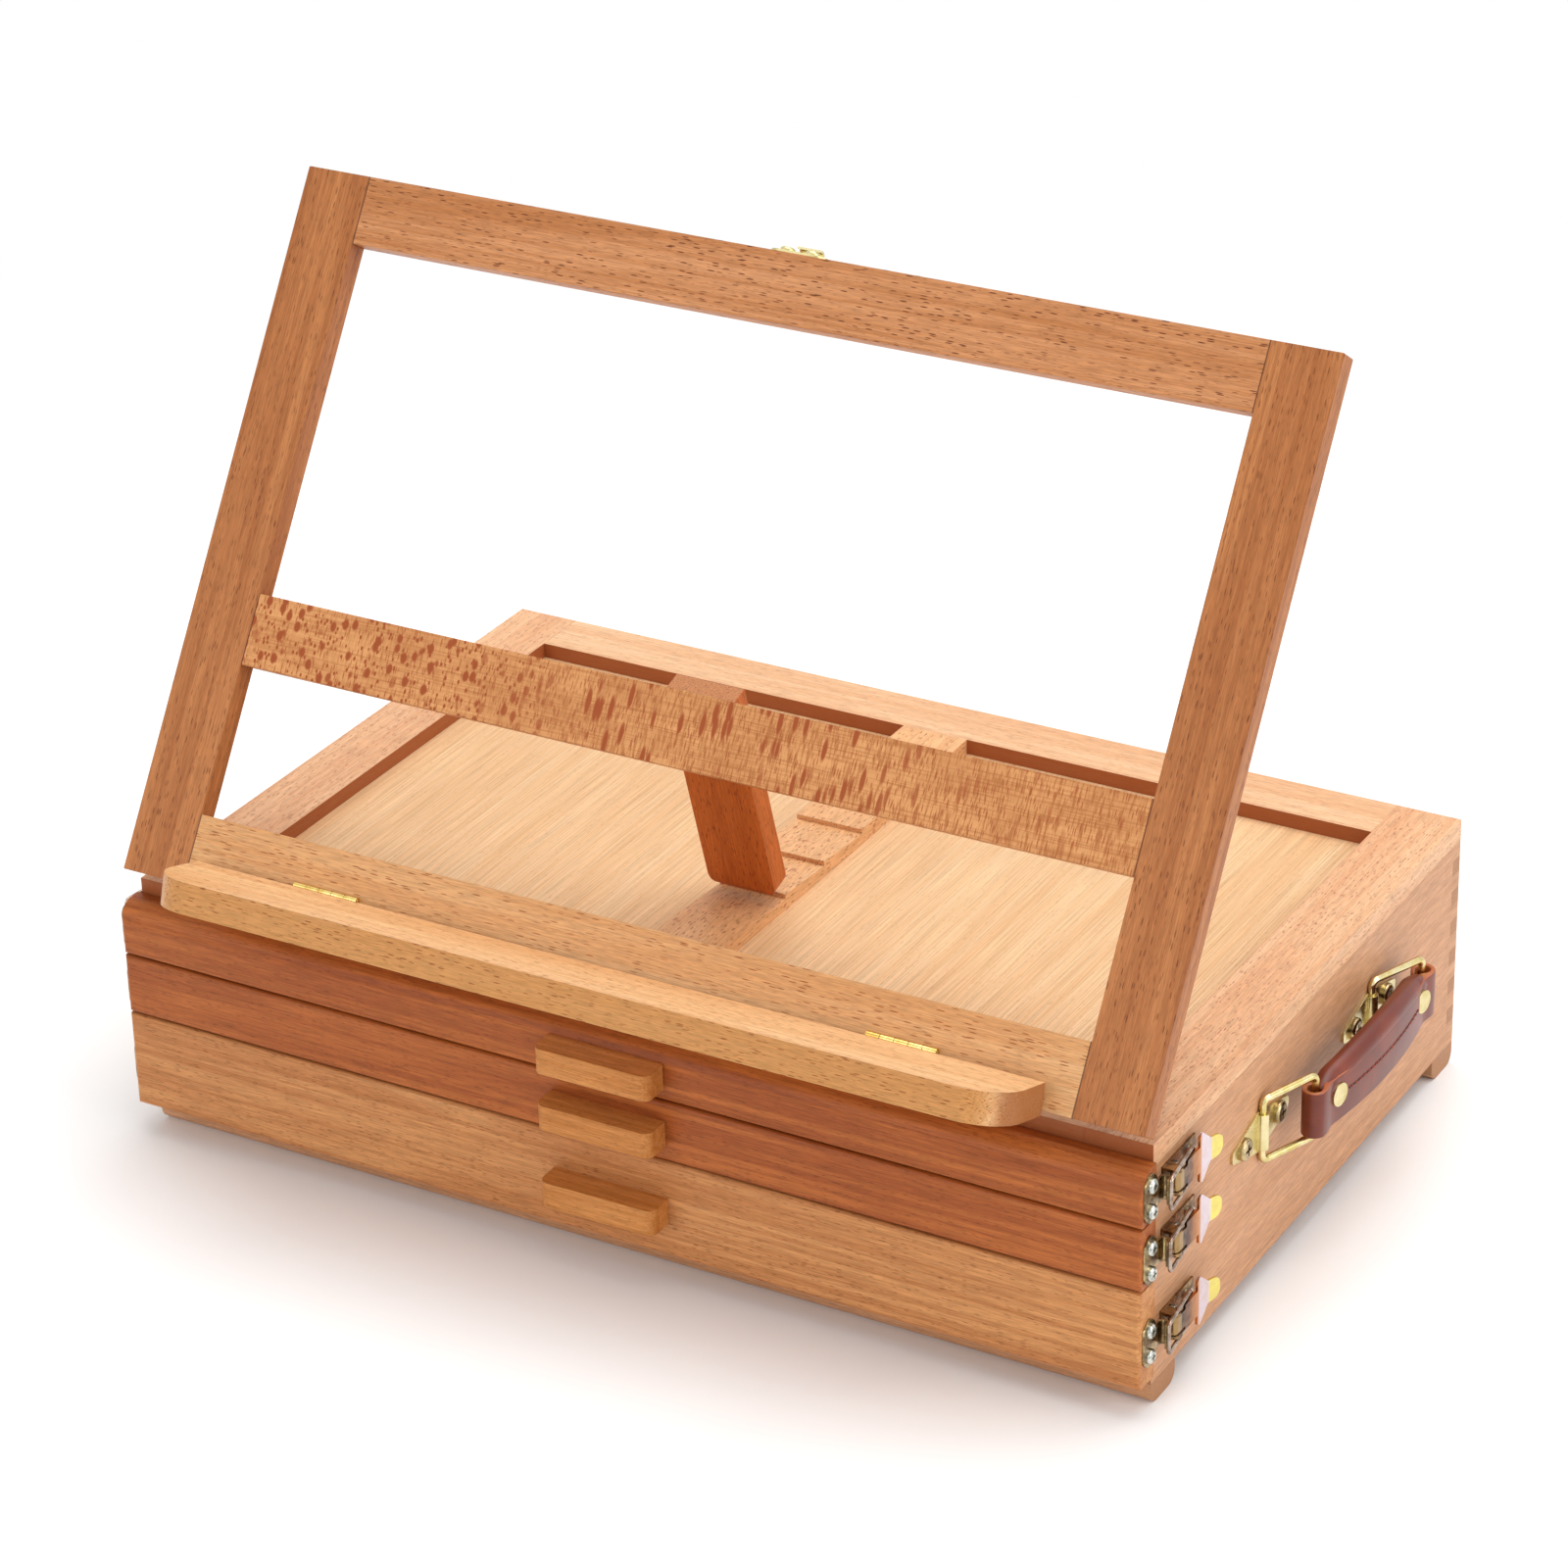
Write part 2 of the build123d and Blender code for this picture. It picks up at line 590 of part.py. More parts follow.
def make_latches():
    base = latch_base(0)
    screws = base_screws(0)
    lever = latch_lever()
    bail = latch_bail()
    strike = strike_plate(STRIKE_HEIGHT)
    for name, sides in side_latch_places().items():
        for side, place in sides.items():
            keep("latch_bases", place * handed(base, side))
            keep("latch_screws", *[place * handed(screw, side) for screw in screws])
            keep(f"latch_lever_{name}_{side}", place * handed(lever, side))
            keep(f"latch_bail_{name}_{side}", place * handed(bail, side))
            keep(f"drawer_{name}_strikes", place * handed(strike, side))
            keep(f"drawer_{name}_screws",
                 *[place * handed(screw, side) for screw in strike_screws()])
    plane = rear_latch_plane()
    lift = plane.origin.Y - CASE_DEPTH
    keep("latch_bases", plane * latch_base(lift))
    keep("latch_screws", *[plane * screw for screw in base_screws(lift)])
    keep("latch_lever_rear", plane * lever)
    keep("latch_bail_rear", plane * rear_bail())


# Easel frame, built flat with its length along Y and its thickness along Z, then tilted

def frame_from_pin():
    """The frame's bottom back edge seen from the hinge pin, along and across the frame."""
    return (FRAME_SHIFT, FRAME_BACK_OFFSET)


def tilted(shape):
    """Moves a shape from the frame's own flat place to its raised place."""
    along, across = frame_from_pin()
    pin = Pos(0, FRAME_PIN_Y, FRAME_PIN_Z)
    return pin * Rot(FRAME_ANGLE, 0, 0) * Pos(0, along, across) * shape


def hinge_leaf(length, height, knuckle, reach, thickness, rows, with_pin):
    """Half of a butt hinge. The pin is on the X axis and the leaf lies below it, towards +Y."""
    row = length / KNUCKLE_ROWS
    clear = knuckle + KNUCKLE_CLEARANCE
    half = length / 2
    leaf = block((-half, half), (clear, reach), (-height, thickness - height))
    for n in rows:
        low = n * row - half + KNUCKLE_CLEARANCE / 2
        high = low + row - KNUCKLE_CLEARANCE
        tab = block((low, high), (0, clear + thickness), (thickness / 2 - height, 0))
        leaf = leaf + tab + rod((low, 0, 0), (high, 0, 0), knuckle)
    if with_pin:
        return leaf + rod((-half, 0, 0), (half, 0, 0), PIN_RADIUS)
    return leaf - rod((-length, 0, 0), (length, 0, 0), PIN_RADIUS + PIN_CLEARANCE)


def eased_bar(x, y, z):
    """A flat wooden bar with slightly eased corners in its outline."""
    corners = [(x[0], y[0]), (x[1], y[0]), (x[1], y[1]), (x[0], y[1])]
    return plate(Plane(origin=(0, 0, z[0])), corners, [WOOD_EASE] * 4, z[1] - z[0])


def make_frame():
    half = FRAME_WIDTH / 2
    thick = (0, FRAME_THICKNESS)
    inner = (FRAME_STILE - half, half - FRAME_STILE)
    for span in ((-half, inner[0]), (inner[1], half)):
        keep("easel_stiles", tilted(eased_bar(span, (0, FRAME_LENGTH), thick)))
    rails = {
        "easel_top_rail": (FRAME_LENGTH - FRAME_TOP_RAIL, FRAME_LENGTH),
        "easel_mid_rail": (MID_RAIL_LOW, MID_RAIL_HIGH),
        "easel_bottom_rail": (0, FRAME_BOTTOM_RAIL),
    }
    for name, span in rails.items():
        keep(name, tilted(block(inner, span, thick)))
    strike_place = Plane(origin=(CATCH_X, FRAME_LENGTH - FRONT_SIDE_OVERHANG, STRIKE_BACK),
                         x_dir=(0, 1, 0), z_dir=(-1, 0, 0))
    keep("catch_plate", tilted(strike_place * strike_plate(CATCH_HEIGHT)))
    keep("catch_plate", *[tilted(strike_place * screw) for screw in strike_screws()])


def make_frame_hinges():
    leaf = dict(length=FRAME_HINGE_LENGTH, knuckle=FRAME_KNUCKLE, reach=FRAME_HINGE_REACH,
                thickness=LEAF)
    deck_leaf = hinge_leaf(height=FRAME_PIN_Z, rows=PIN_ROWS, with_pin=True, **leaf)
    frame_leaf = hinge_leaf(height=FRAME_BACK_OFFSET, rows=SLEEVE_ROWS, with_pin=False, **leaf)
    along, across = frame_from_pin()
    for x in (-FRAME_HINGE_X, FRAME_HINGE_X):
        keep("easel_hinge_leaves_deck", Pos(x, FRAME_PIN_Y, FRAME_PIN_Z) * deck_leaf)
        flipped = Plane(origin=(x, -along, -across), x_dir=(-1, 0, 0), z_dir=(0, 0, -1))
        keep("easel_hinge_leaves_frame", tilted(flipped * frame_leaf))


# Prop leg

def prop_pin():
    """Place of the prop's hinge pin in the flat frame: along it and through its thickness."""
    return (MID_RAIL_HIGH - PROP_PIN_BELOW_RAIL, -PROP_PIN_OFFSET)


def prop_pin_place():
    """The prop's hinge pin with the frame raised."""
    along, across = prop_pin()
    return tilted(Pos(CENTER_X, along, across) * Vertex(0, 0, 0)).center()


def prop_reach():
    """Length from the pin at which the rounded foot's lowest point is one gap above the deck."""
    angle = math.radians(PROP_ANGLE)
    foot = PROP_FOOT_ROUNDING
    drop = prop_pin_place().Z + (PROP_PIN_OFFSET + foot) * math.cos(angle) - foot - PROP_FOOT_GAP
    return foot + drop / math.sin(angle)


def prop_leg():
    """The leg hangs from the pin along +Y, with its front face towards -Z."""
    half = PROP_WIDTH / 2
    low = PROP_PIN_OFFSET
    high = low + PROP_THICKNESS
    end = prop_reach()
    side = Plane(origin=(-half, 0, 0), x_dir=(0, 1, 0), z_dir=(1, 0, 0))
    corners = [(PROP_START, low), (end, low), (end, high), (PROP_START, high)]
    foot = PROP_FOOT_ROUNDING
    profile = plate(side, corners, [WOOD_EASE, foot, foot, WOOD_EASE], PROP_WIDTH)
    corners = [(-half, PROP_START), (half, PROP_START), (half, end), (-half, end)]
    round_end = PROP_CORNER_ROUNDING
    plan = plate(Plane(origin=(0, 0, low)), corners, [WOOD_EASE, WOOD_EASE, round_end, round_end],
                 PROP_THICKNESS)
    return profile & plan


def make_prop():
    along, across = prop_pin()
    leaf = dict(length=PROP_HINGE_LENGTH, height=PROP_PIN_OFFSET, knuckle=PROP_KNUCKLE,
                reach=PROP_HINGE_REACH, thickness=LEAF)
    rail_leaf = hinge_leaf(rows=PIN_ROWS, with_pin=True, **leaf)
    leg_leaf = hinge_leaf(rows=SLEEVE_ROWS, with_pin=False, **leaf)
    on_rail = Plane(origin=(CENTER_X, along, across), x_dir=(1, 0, 0), z_dir=(0, 0, -1))
    keep("prop_hinge_leaf_rail", tilted(on_rail * rail_leaf))
    hang = Pos(*prop_pin_place()) * Rot(-PROP_ANGLE, 0, 0)
    keep("prop_leg", hang * prop_leg())
    keep("prop_hinge_leaf_leg", hang * Rot(0, 180, 0) * leg_leaf)


# Canvas ledge

def make_ledge():
    along = LEDGE_PIN_ALONG
    across = FRAME_THICKNESS + LEDGE_PIN_OFFSET
    half = LEDGE_WIDTH / 2
    pin = tilted(Pos(LEDGE_X, along, across) * Vertex(0, 0, 0)).center()
    outward = Pos(*pin) * Rot(0, 0, 180) * Rot(LEDGE_TILT, 0, 0)
    near = LEDGE_PIN_OFFSET
    far = near + LEDGE_DEPTH
    corners = [(-half, near), (half, near), (half, far), (-half, far)]
    board = plate(Plane(origin=(0, 0, -LEDGE_THICKNESS)), corners,
                  [WOOD_EASE, WOOD_EASE, LEDGE_CORNER, LEDGE_CORNER], LEDGE_THICKNESS)
    keep("canvas_ledge", outward * board)

    leaf = dict(length=LEDGE_HINGE_LENGTH, height=LEDGE_PIN_OFFSET, knuckle=LEDGE_KNUCKLE,
                reach=LEDGE_HINGE_REACH, thickness=LEDGE_LEAF)
    frame_leaf = hinge_leaf(rows=PIN_ROWS, with_pin=True, **leaf)
    ledge_leaf = hinge_leaf(rows=SLEEVE_ROWS, with_pin=False, **leaf)
    for x in (-LEDGE_HINGE_X, LEDGE_HINGE_X):
        on_frame = Plane(origin=(LEDGE_X + x, along, across), x_dir=(-1, 0, 0), z_dir=(0, 0, 1))
        keep("ledge_hinge_leaves_frame", tilted(on_frame * frame_leaf))
        on_ledge = Plane(origin=(x, 0, 0), x_dir=(-1, 0, 0), z_dir=(0, -1, 0))
        keep("ledge_hinge_leaves", outward * (on_ledge * ledge_leaf))


# Carrying handle, with Y along the case and X out from its side

def ring_pin_out():
    return RING_WIRE + RING_CLEARANCE


def bar_place(pivot_y):
    """Where a ring's outer bar stands: out from the case and back along it."""
    angle = math.radians(RING_ANGLE)
    return (ring_pin_out() + RING_REACH * math.sin(angle), pivot_y + RING_REACH * math.cos(angle))


def handle_plate(y):
    """Pointed plate with a half-round bulge over the ring's bar."""
    length = PLATE_LENGTH / 2
    wide = PLATE_HEIGHT / 2
    end = PLATE_END_HEIGHT / 2
    corners = [(y - length, -end), (y, -wide), (y + length, -end),
               (y + length, end), (y, wide), (y - length, end)]
    side = Plane(origin=(0, 0, 0), x_dir=(0, 1, 0), z_dir=(1, 0, 0))
    radii = [PLATE_END_ROUNDING, PLATE_SIDE_ROUNDING, PLATE_END_ROUNDING] * 2
    flat = plate(side, corners, radii, PLATE_THICKNESS)
    inner = RING_WIRE + RING_CLEARANCE
    ends = [(ring_pin_out(), y, z) for z in (-BULGE_HALF_HEIGHT, BULGE_HALF_HEIGHT)]
    bore = [(ring_pin_out(), y, z) for z in (-PLATE_HEIGHT, PLATE_HEIGHT)]
    shape = flat + rod(*ends, inner + PLATE_THICKNESS) - rod(*bore, inner)
    behind = block((-PLATE_HEIGHT, 0), (y - length, y + length), (-PLATE_HEIGHT, PLATE_HEIGHT))
    channel = block((-PLATE_HEIGHT, ring_pin_out()), (y - inner, y + inner),
                    (-PLATE_HEIGHT, PLATE_HEIGHT))
    return shape - behind - channel


def handle_ring(pivot_y):
    """Closed rectangle of wire: one bar under the plate's bulge, the other in the grip's loop."""
    out, back = bar_place(pivot_y)
    near = Vector(ring_pin_out(), pivot_y, 0)
    far = Vector(out, back, 0)
    rise = Vector(0, 0, RING_HALF_HEIGHT)
    path = FilletPolyline(near + rise, far + rise, far - rise, near - rise,
                          radius=RING_BEND, close=True)
    start = Plane(origin=path @ 0, z_dir=path % 0)
    return sweep(start * Circle(RING_WIRE), path=path)


def loop_places():
    """Centres of the grip's end loops. Each loop is pulled inward until its bar almost touches."""
    shift = LOOP_HOLLOW - RING_WIRE - LOOP_BAR_GAP
    return [(bar_place(pivot)[0], bar_place(pivot)[1] + side * shift)
            for pivot, side in zip(HANDLE_PIVOTS, (-1, 1))]


def grip_arc(z, shift, rise=0.0):
    """Arc along the grip's middle plane from one end loop to the other, bowed outward."""
    (out, front), (_, rear) = loop_places()
    edge = out + GRIP_OUT + shift
    middle = (edge + GRIP_BOW, (front + rear) / 2, z + rise)
    return ThreePointArc((edge, front, z), middle, (edge, rear, z))


def grip_low():
    return -RING_HALF_HEIGHT + RING_WIRE + GRIP_REST_GAP


def handle_grip():
    """Leather strap: a padded roll arched along the top and set towards the case, a stitched
    flange below, a loop at each end."""
    low = grip_low()
    high = low + GRIP_HEIGHT
    roll_z = high - ROLL_RADIUS
    half = FLANGE_THICKNESS / 2
    inner, outer = grip_arc(low, -half), grip_arc(low, half)
    ends = [Line(inner @ t, outer @ t) for t in (0, 1)]
    flange = extrude(make_face(Wire([inner, outer, *ends])),
                     amount=GRIP_HEIGHT - FLANGE_BELOW_LOOP, dir=(0, 0, 1))
    path = grip_arc(roll_z, -ROLL_INSET, ROLL_RISE)
    roll = sweep(Plane(origin=path @ 0, z_dir=path % 0) * Circle(ROLL_RADIUS), path=path)
    grip = flange + roll
    hollows = []
    for out, center in loop_places():
        grip = grip + rod((out, center, low), (out, center, high), LOOP_RADIUS)
        ends = [(out, center, low - LOOP_RADIUS), (out, center, high + LOOP_RADIUS)]
        hollows.append(rod(*ends, LOOP_HOLLOW))
    return cut(grip, hollows)


def rivets():
    """Round flat rivets let into the flange, square to its outer face."""
    (_, front), (_, rear) = loop_places()
    z = grip_low() + GRIP_HEIGHT / 2 + RIVET_RISE
    face = grip_arc(z, FLANGE_THICKNESS / 2)
    share = RIVET_FROM_BAR / (rear - front)
    head = Cylinder(RIVET_RADIUS, RIVET_HEIGHT + RIVET_SINK,
                    align=(Align.CENTER, Align.CENTER, Align.MIN))
    heads = []
    for t in (share, 1 - share):
        along = face % t
        seat = Plane(origin=face @ t, z_dir=(abs(along.Y), -math.copysign(along.X, along.Y), 0))
        heads.append(seat * Pos(0, 0, -RIVET_SINK) * head)
    return heads


def make_handle():
    place = Pos(HALF_CASE, 0, HANDLE_Z)
    for y in HANDLE_PIVOTS:
        keep("handle_plates", place * handle_plate(y))
        for offset in (-HANDLE_SCREW_OFFSET, HANDLE_SCREW_OFFSET):
            screw = screw_outward(PLATE_THICKNESS, y + offset, 0,
                                  HANDLE_SCREW_RADIUS, HANDLE_SCREW_HEIGHT)
            keep("handle_screws", place * screw)
    heads = rivets()
    keep("handle_grip", place * cut(handle_grip(), heads))
    keep("handle_rivets", *[place * head for head in heads])
    keep("handle_ring_front", place * handle_ring(HANDLE_PIVOTS[0]))
    keep("handle_ring_rear", place * handle_ring(HANDLE_PIVOTS[1]))


def base_center():
    """Bottom centre of everything's bounding box, the origin of the finished part."""
    whole = Compound([solid for solids in NODES.values() for solid in solids])
    box = whole.bounding_box()
    return Vector(box.center().X, box.center().Y, box.min.Z)


make_case_walls()
make_bottom_and_feet()
make_deck()
make_runners()
make_drawers()
make_latches()
make_frame()
make_frame_hinges()
make_prop()
make_ledge()
make_handle()

ORIGIN = base_center()
os.makedirs("parts", exist_ok=True)
for node, solids in NODES.items():
    moved = [Pos(*(-ORIGIN)) * solid for solid in solids]
    export_step(Compound(label=node, children=moved), f"parts/{node}.step")
print("origin shift", ORIGIN)
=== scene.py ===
import math

import bmesh
import bpy
from mathutils import Matrix, Vector


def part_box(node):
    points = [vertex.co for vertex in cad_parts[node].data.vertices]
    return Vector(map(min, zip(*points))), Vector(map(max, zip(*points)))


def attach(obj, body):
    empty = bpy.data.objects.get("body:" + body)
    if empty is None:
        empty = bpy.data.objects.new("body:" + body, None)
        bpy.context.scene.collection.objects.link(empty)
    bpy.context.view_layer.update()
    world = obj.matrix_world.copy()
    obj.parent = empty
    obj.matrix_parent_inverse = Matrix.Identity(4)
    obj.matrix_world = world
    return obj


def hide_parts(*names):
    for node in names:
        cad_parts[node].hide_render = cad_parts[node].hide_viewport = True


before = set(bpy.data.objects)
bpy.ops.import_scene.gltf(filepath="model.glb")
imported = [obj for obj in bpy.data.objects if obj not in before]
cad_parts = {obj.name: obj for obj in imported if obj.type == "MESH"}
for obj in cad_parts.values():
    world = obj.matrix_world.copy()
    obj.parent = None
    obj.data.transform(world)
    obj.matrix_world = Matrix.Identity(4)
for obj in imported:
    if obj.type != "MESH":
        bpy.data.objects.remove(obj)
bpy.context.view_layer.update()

# A table box easel of clear-varnished beech, with plated steel fittings and a leather handle.
# Sizes are in millimetres from the middle of the deck's top front edge, X to the right, Y to the
# back and Z up. place() turns them into the frame's metres.

MM = 0.001
CASE_HALF = 204.5
FRAME_OVERHANG = 0.75
FRAME_STILE = 26.3
FRAME_TILT = math.radians(56.83)
PROP_TILT = math.radians(73.4)
LEDGE_TILT = math.radians(18.0)


def deck_origin():
    """The middle of the deck's top front edge, in metres."""
    side_low, side_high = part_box("side_right")
    deck_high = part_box("deck_stiles")[1]
    return Vector((side_high[0] - CASE_HALF * MM, side_low[1], deck_high[2]))


ORIGIN = deck_origin()
DECK_DEPTH = (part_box("deck_rails")[1].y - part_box("deck_rails")[0].y) / MM


def place(x, y, z):
    return ORIGIN + Vector((x, y, z)) * MM


# Materials

def linear(code):
    """An sRGB hex colour as the linear values that a shader takes."""
    parts = [int(code[i:i + 2], 16) / 255 for i in (1, 3, 5)]
    return [p / 12.92 if p <= 0.04045 else ((p + 0.055) / 1.055) ** 2.4 for p in parts] + [1.0]


def new_material(name, **values):
    """A material with one principled shader whose sockets hold the values."""
    made = bpy.data.materials.new(name)
    made.use_nodes = True
    shader = made.node_tree.nodes["Principled BSDF"]
    for socket, value in values.items():
        shader.inputs[socket.replace("_", " ")].default_value = value
    return made, made.node_tree, shader


def add(tree, kind, inputs=(), **settings):
    """Adds a node with its settings and gives back its first open output. The inputs are named, or
    come in the order of the sockets that the settings leave open. Each is a socket that it is
    linked from, a hex colour or a plain value."""
    node = tree.nodes.new("ShaderNode" + kind)
    for name, value in settings.items():
        setattr(node, name, value)
    if isinstance(inputs, dict):
        fed = [(node.inputs[name], value) for name, value in inputs.items()]
    else:
        fed = list(zip([socket for socket in node.inputs if socket.enabled], inputs))
    for socket, value in fed:
        if isinstance(value, bpy.types.NodeSocket):
            tree.links.new(value, socket)
        else:
            socket.default_value = linear(value) if isinstance(value, str) else value
    return next((socket for socket in node.outputs if socket.enabled), None)


# Settings that many nodes share: a range with soft ends, a blend of two colours, arithmetic

SOFT = {"interpolation_type": "SMOOTHSTEP"}
COLOURS = {"data_type": "RGBA"}
PRODUCT = {"operation": "MULTIPLY"}
LARGER = {"operation": "MAXIMUM"}
UNSIGNED = {"operation": "ABSOLUTE"}

# Directions that a pattern's length runs along, as the turn of its coordinates

ALONG_X = (0.0, 0.0, 0.0)
ALONG_Y = (0.0, 0.0, -math.pi / 2)
ALONG_FRAME = (-FRAME_TILT, 0.0, -math.pi / 2)
ACROSS_FRAME = (-FRAME_TILT, 0.0, 0.0)
ALONG_PROP = (PROP_TILT, 0.0, -math.pi / 2)
ACROSS_LEDGE = (LEDGE_TILT, 0.0, 0.0)


def object_millimetres(tree, turn=ALONG_X):
    """Object coordinates in millimetres, turned so that the pattern's length runs along X."""
    where = add(tree, "TexCoord").node.outputs["Object"]
    return add(tree, "Mapping", {"Vector": where, "Rotation": turn, "Scale": [1 / MM] * 3})


def repeats(tree, where, lengths):
    """Coordinates that count the repeats of a pattern, each so many millimetres long."""
    return add(tree, "VectorMath", (where, [1 / length for length in lengths]), **PRODUCT)


def mottled(tree, where, lengths, detail=2.0, rough=0.5, warp=0.0):
    """Soft random changes that are about so many millimetres long, wide and high."""
    return add(tree, "TexNoise", {"Vector": repeats(tree, where, lengths), "Scale": 1.0,
                                  "Detail": detail, "Roughness": rough, "Distortion": warp})


def dashes(tree, where, lengths, size, share, strength=1.0):
    """Short marks in cells so many millimetres long, wide and high. The size is a mark's radius
    in its cell, and the share is how many of the cells have one."""
    cells = add(tree, "TexVoronoi", {"Vector": repeats(tree, where, lengths), "Scale": 1.0})
    mark = add(tree, "MapRange", (cells, size * 0.6, size, 1.0, 0.0), **SOFT)
    pick = add(tree, "SeparateColor", (cells.node.outputs["Color"],))
    kept = add(tree, "MapRange", (pick, 1 - share, 1.15 - share, 0.0, strength), **SOFT)
    return add(tree, "Math", (mark, kept), **PRODUCT)


def layered(tree, colour, layers):
    """Lays colours over each other. A layer is its share of the surface and its colour."""
    for share, over in layers:
        colour = add(tree, "Mix", (share, colour, over), **COLOURS)
    return colour


def bumped(tree, shader, height, depth, strength, edge=0.0):
    """Feeds a height to the shader, over worn edges. The depth and the radius of the edges are
    in millimetres."""
    inputs = {"Height": height, "Distance": depth * MM, "Strength": strength}
    if edge:
        inputs["Normal"] = add(tree, "Bevel", {"Radius": edge * MM}, samples=4)
    tree.links.new(add(tree, "Bump", inputs), shader.inputs["Normal"])


# Wood. Its satin varnish mirrors the room only faintly, its edges are worn round by half a
# millimetre, and the glue in its joints shows as a dark line.

VARNISH_MIRROR = 0.22
WOOD_WEAR = 0.5
GLUE = "#4A2210"
DECK_RIM = 3.0
SEAM = CASE_HALF + FRAME_OVERHANG - FRAME_STILE


def facing(tree, turn):
    """How squarely a face looks along the direction of a grain."""
    normal = add(tree, "TexCoord").node.outputs["Normal"]
    turned = add(tree, "Mapping", {"Vector": normal, "Rotation": turn})
    return add(tree, "Math", (add(tree, "SeparateXYZ", (turned,)),), **UNSIGNED)


def shaded_recess_mask(tree):
    """The deck's front edge and the upright walls of its recesses, which get painted shade to look
    darker than its top. The rim at the sides and the back is left out."""
    coordinates = add(tree, "TexCoord").node.outputs
    normal = add(tree, "VectorMath", (coordinates["Normal"],), **UNSIGNED)
    centred = add(tree, "VectorMath", (coordinates["Object"], -ORIGIN), operation="ADD")
    looks = add(tree, "SeparateXYZ", (normal,)).node.outputs
    at = add(tree, "SeparateXYZ", (add(tree, "VectorMath", (centred,), **UNSIGNED),)).node.outputs
    shaded_walls = []
    for side, reach in (("X", CASE_HALF), ("Y", DECK_DEPTH)):
        upright = add(tree, "MapRange", (looks[side], 0.6, 0.9), **SOFT)
        rim = (reach - DECK_RIM) * MM
        inside = add(tree, "MapRange", (at[side], rim - MM, rim, 0.9, 0.0), **SOFT)
        shaded_walls.append(add(tree, "Math", (upright, inside), **PRODUCT))
    return add(tree, "Math", shaded_walls, **LARGER)


def glue_line(tree, where, seam):
    """The last half millimetre before a shoulder that lies so far from the object's middle."""
    side = add(tree, "SeparateXYZ", (where,))
    side = add(tree, "Math", (side, -ORIGIN.x / MM), operation="ADD")
    side = add(tree, "Math", (side,), **UNSIGNED)
    return add(tree, "MapRange", (side, seam - 0.6, seam - 0.35, 0.0, 0.8), **SOFT)


def beech(name, turn, pale, deep, pore, pores=0.8, streak=0.55, gloss=0.42, pore_length=4.4,
          fibre_length=9.0, rays=0.0, seam=0.0, tints=(), recess_shade_colour=""):
    """Planed beech under a thin clear varnish: short dark pores along the grain, soft growth
    streaks 3 to 13 mm wide, fibres half a millimetre wide and a satin surface. The fibres and
    pores are drawn a few times as wide as real ones, so that they show. A rail's seam is where its
    shoulder meets a stile, so far from the middle. The tints are (direction, colour) pairs for
    faces of another tone, such as end grain that took more varnish, and on the ledge painted shade
    on its ends and its front and back faces. The recess colour is painted shade on the deck's
    front edge and the walls of its recesses. The rays are small red-brown flecks."""
    made, tree, shader = new_material(name, Roughness=gloss, Specular_IOR_Level=VARNISH_MIRROR)
    where = object_millimetres(tree, turn)
    tone = mottled(tree, where, (130, 13, 13), detail=3, warp=0.8)
    rings = mottled(tree, where, (240, 2.6, 2.6), detail=4, rough=0.6, warp=0.25)
    fibre = mottled(tree, where, (fibre_length, 0.5, 0.5), rough=0.6)

    # Pores: coarse ones, which crowd in streaks 5 mm wide, and fainter fine ones
    coarse = dashes(tree, where, (pore_length, 0.85, 0.85), size=0.31, share=0.75)
    crowd = mottled(tree, where, (70, 5, 5))
    dense = add(tree, "MapRange", (crowd, 0.3, 0.6, 0.55 * pores, pores), **SOFT)
    coarse = add(tree, "Math", (coarse, dense), **PRODUCT)
    fine = dashes(tree, where, (pore_length * 0.7, 0.55, 0.55), size=0.28, share=0.6,
                  strength=pores * 0.4)

    # Wide and narrow growth streaks, then tinted faces, then the pores over both
    under = [(add(tree, "MapRange", (tone, 0.34, 0.66, 0.0, streak), **SOFT), deep),
             (add(tree, "MapRange", (rings, 0.42, 0.62, 0.0, min(streak * 1.1, 1.0)), **SOFT),
              deep)]
    # Faces tinted by their direction: end grain, and on the ledge also painted shade on its ends
    # and its front and back faces
    for towards, tint in tints:
        end_grain_and_shaded_faces = add(tree, "MapRange", (facing(tree, towards), 0.6, 0.9, 0.0, 0.85), **SOFT)
        under.append((end_grain_and_shaded_faces, tint))
    colour = layered(tree, pale, under + [(coarse, pore), (fine, pore)])

    # Fibres, as slightly darker lines in all of these colours
    lit = add(tree, "MapRange", (fibre, 0.3, 0.7), **SOFT)
    shade = add(tree, "Mix", (lit, "#DCDCDC", "#FFFFFF"), **COLOURS)
    colour = add(tree, "Mix", (1.0, colour, shade), blend_type="MULTIPLY", **COLOURS)

    # Ray flecks, the painted shade on the deck's front edge and recess walls, and the glue line
    # lie over all of that
    over = []
    if rays:
        flecks = dashes(tree, where, (4.2, 3.0, 3.0), size=0.34, share=0.3, strength=rays)
        over.append((flecks, "#A8542B"))
    # Painted shade on the deck's front edge and on the upright walls of its recesses
    if recess_shade_colour:
        over.append((shaded_recess_mask(tree), recess_shade_colour))
    if seam:
        over.append((glue_line(tree, where, seam), GLUE))
    tree.links.new(layered(tree, colour, over), shader.inputs["Base Color"])
    height = add(tree, "Math", (fibre, coarse), operation="SUBTRACT")
    bumped(tree, shader, height, depth=0.05, strength=0.5, edge=WOOD_WEAR)
    return made


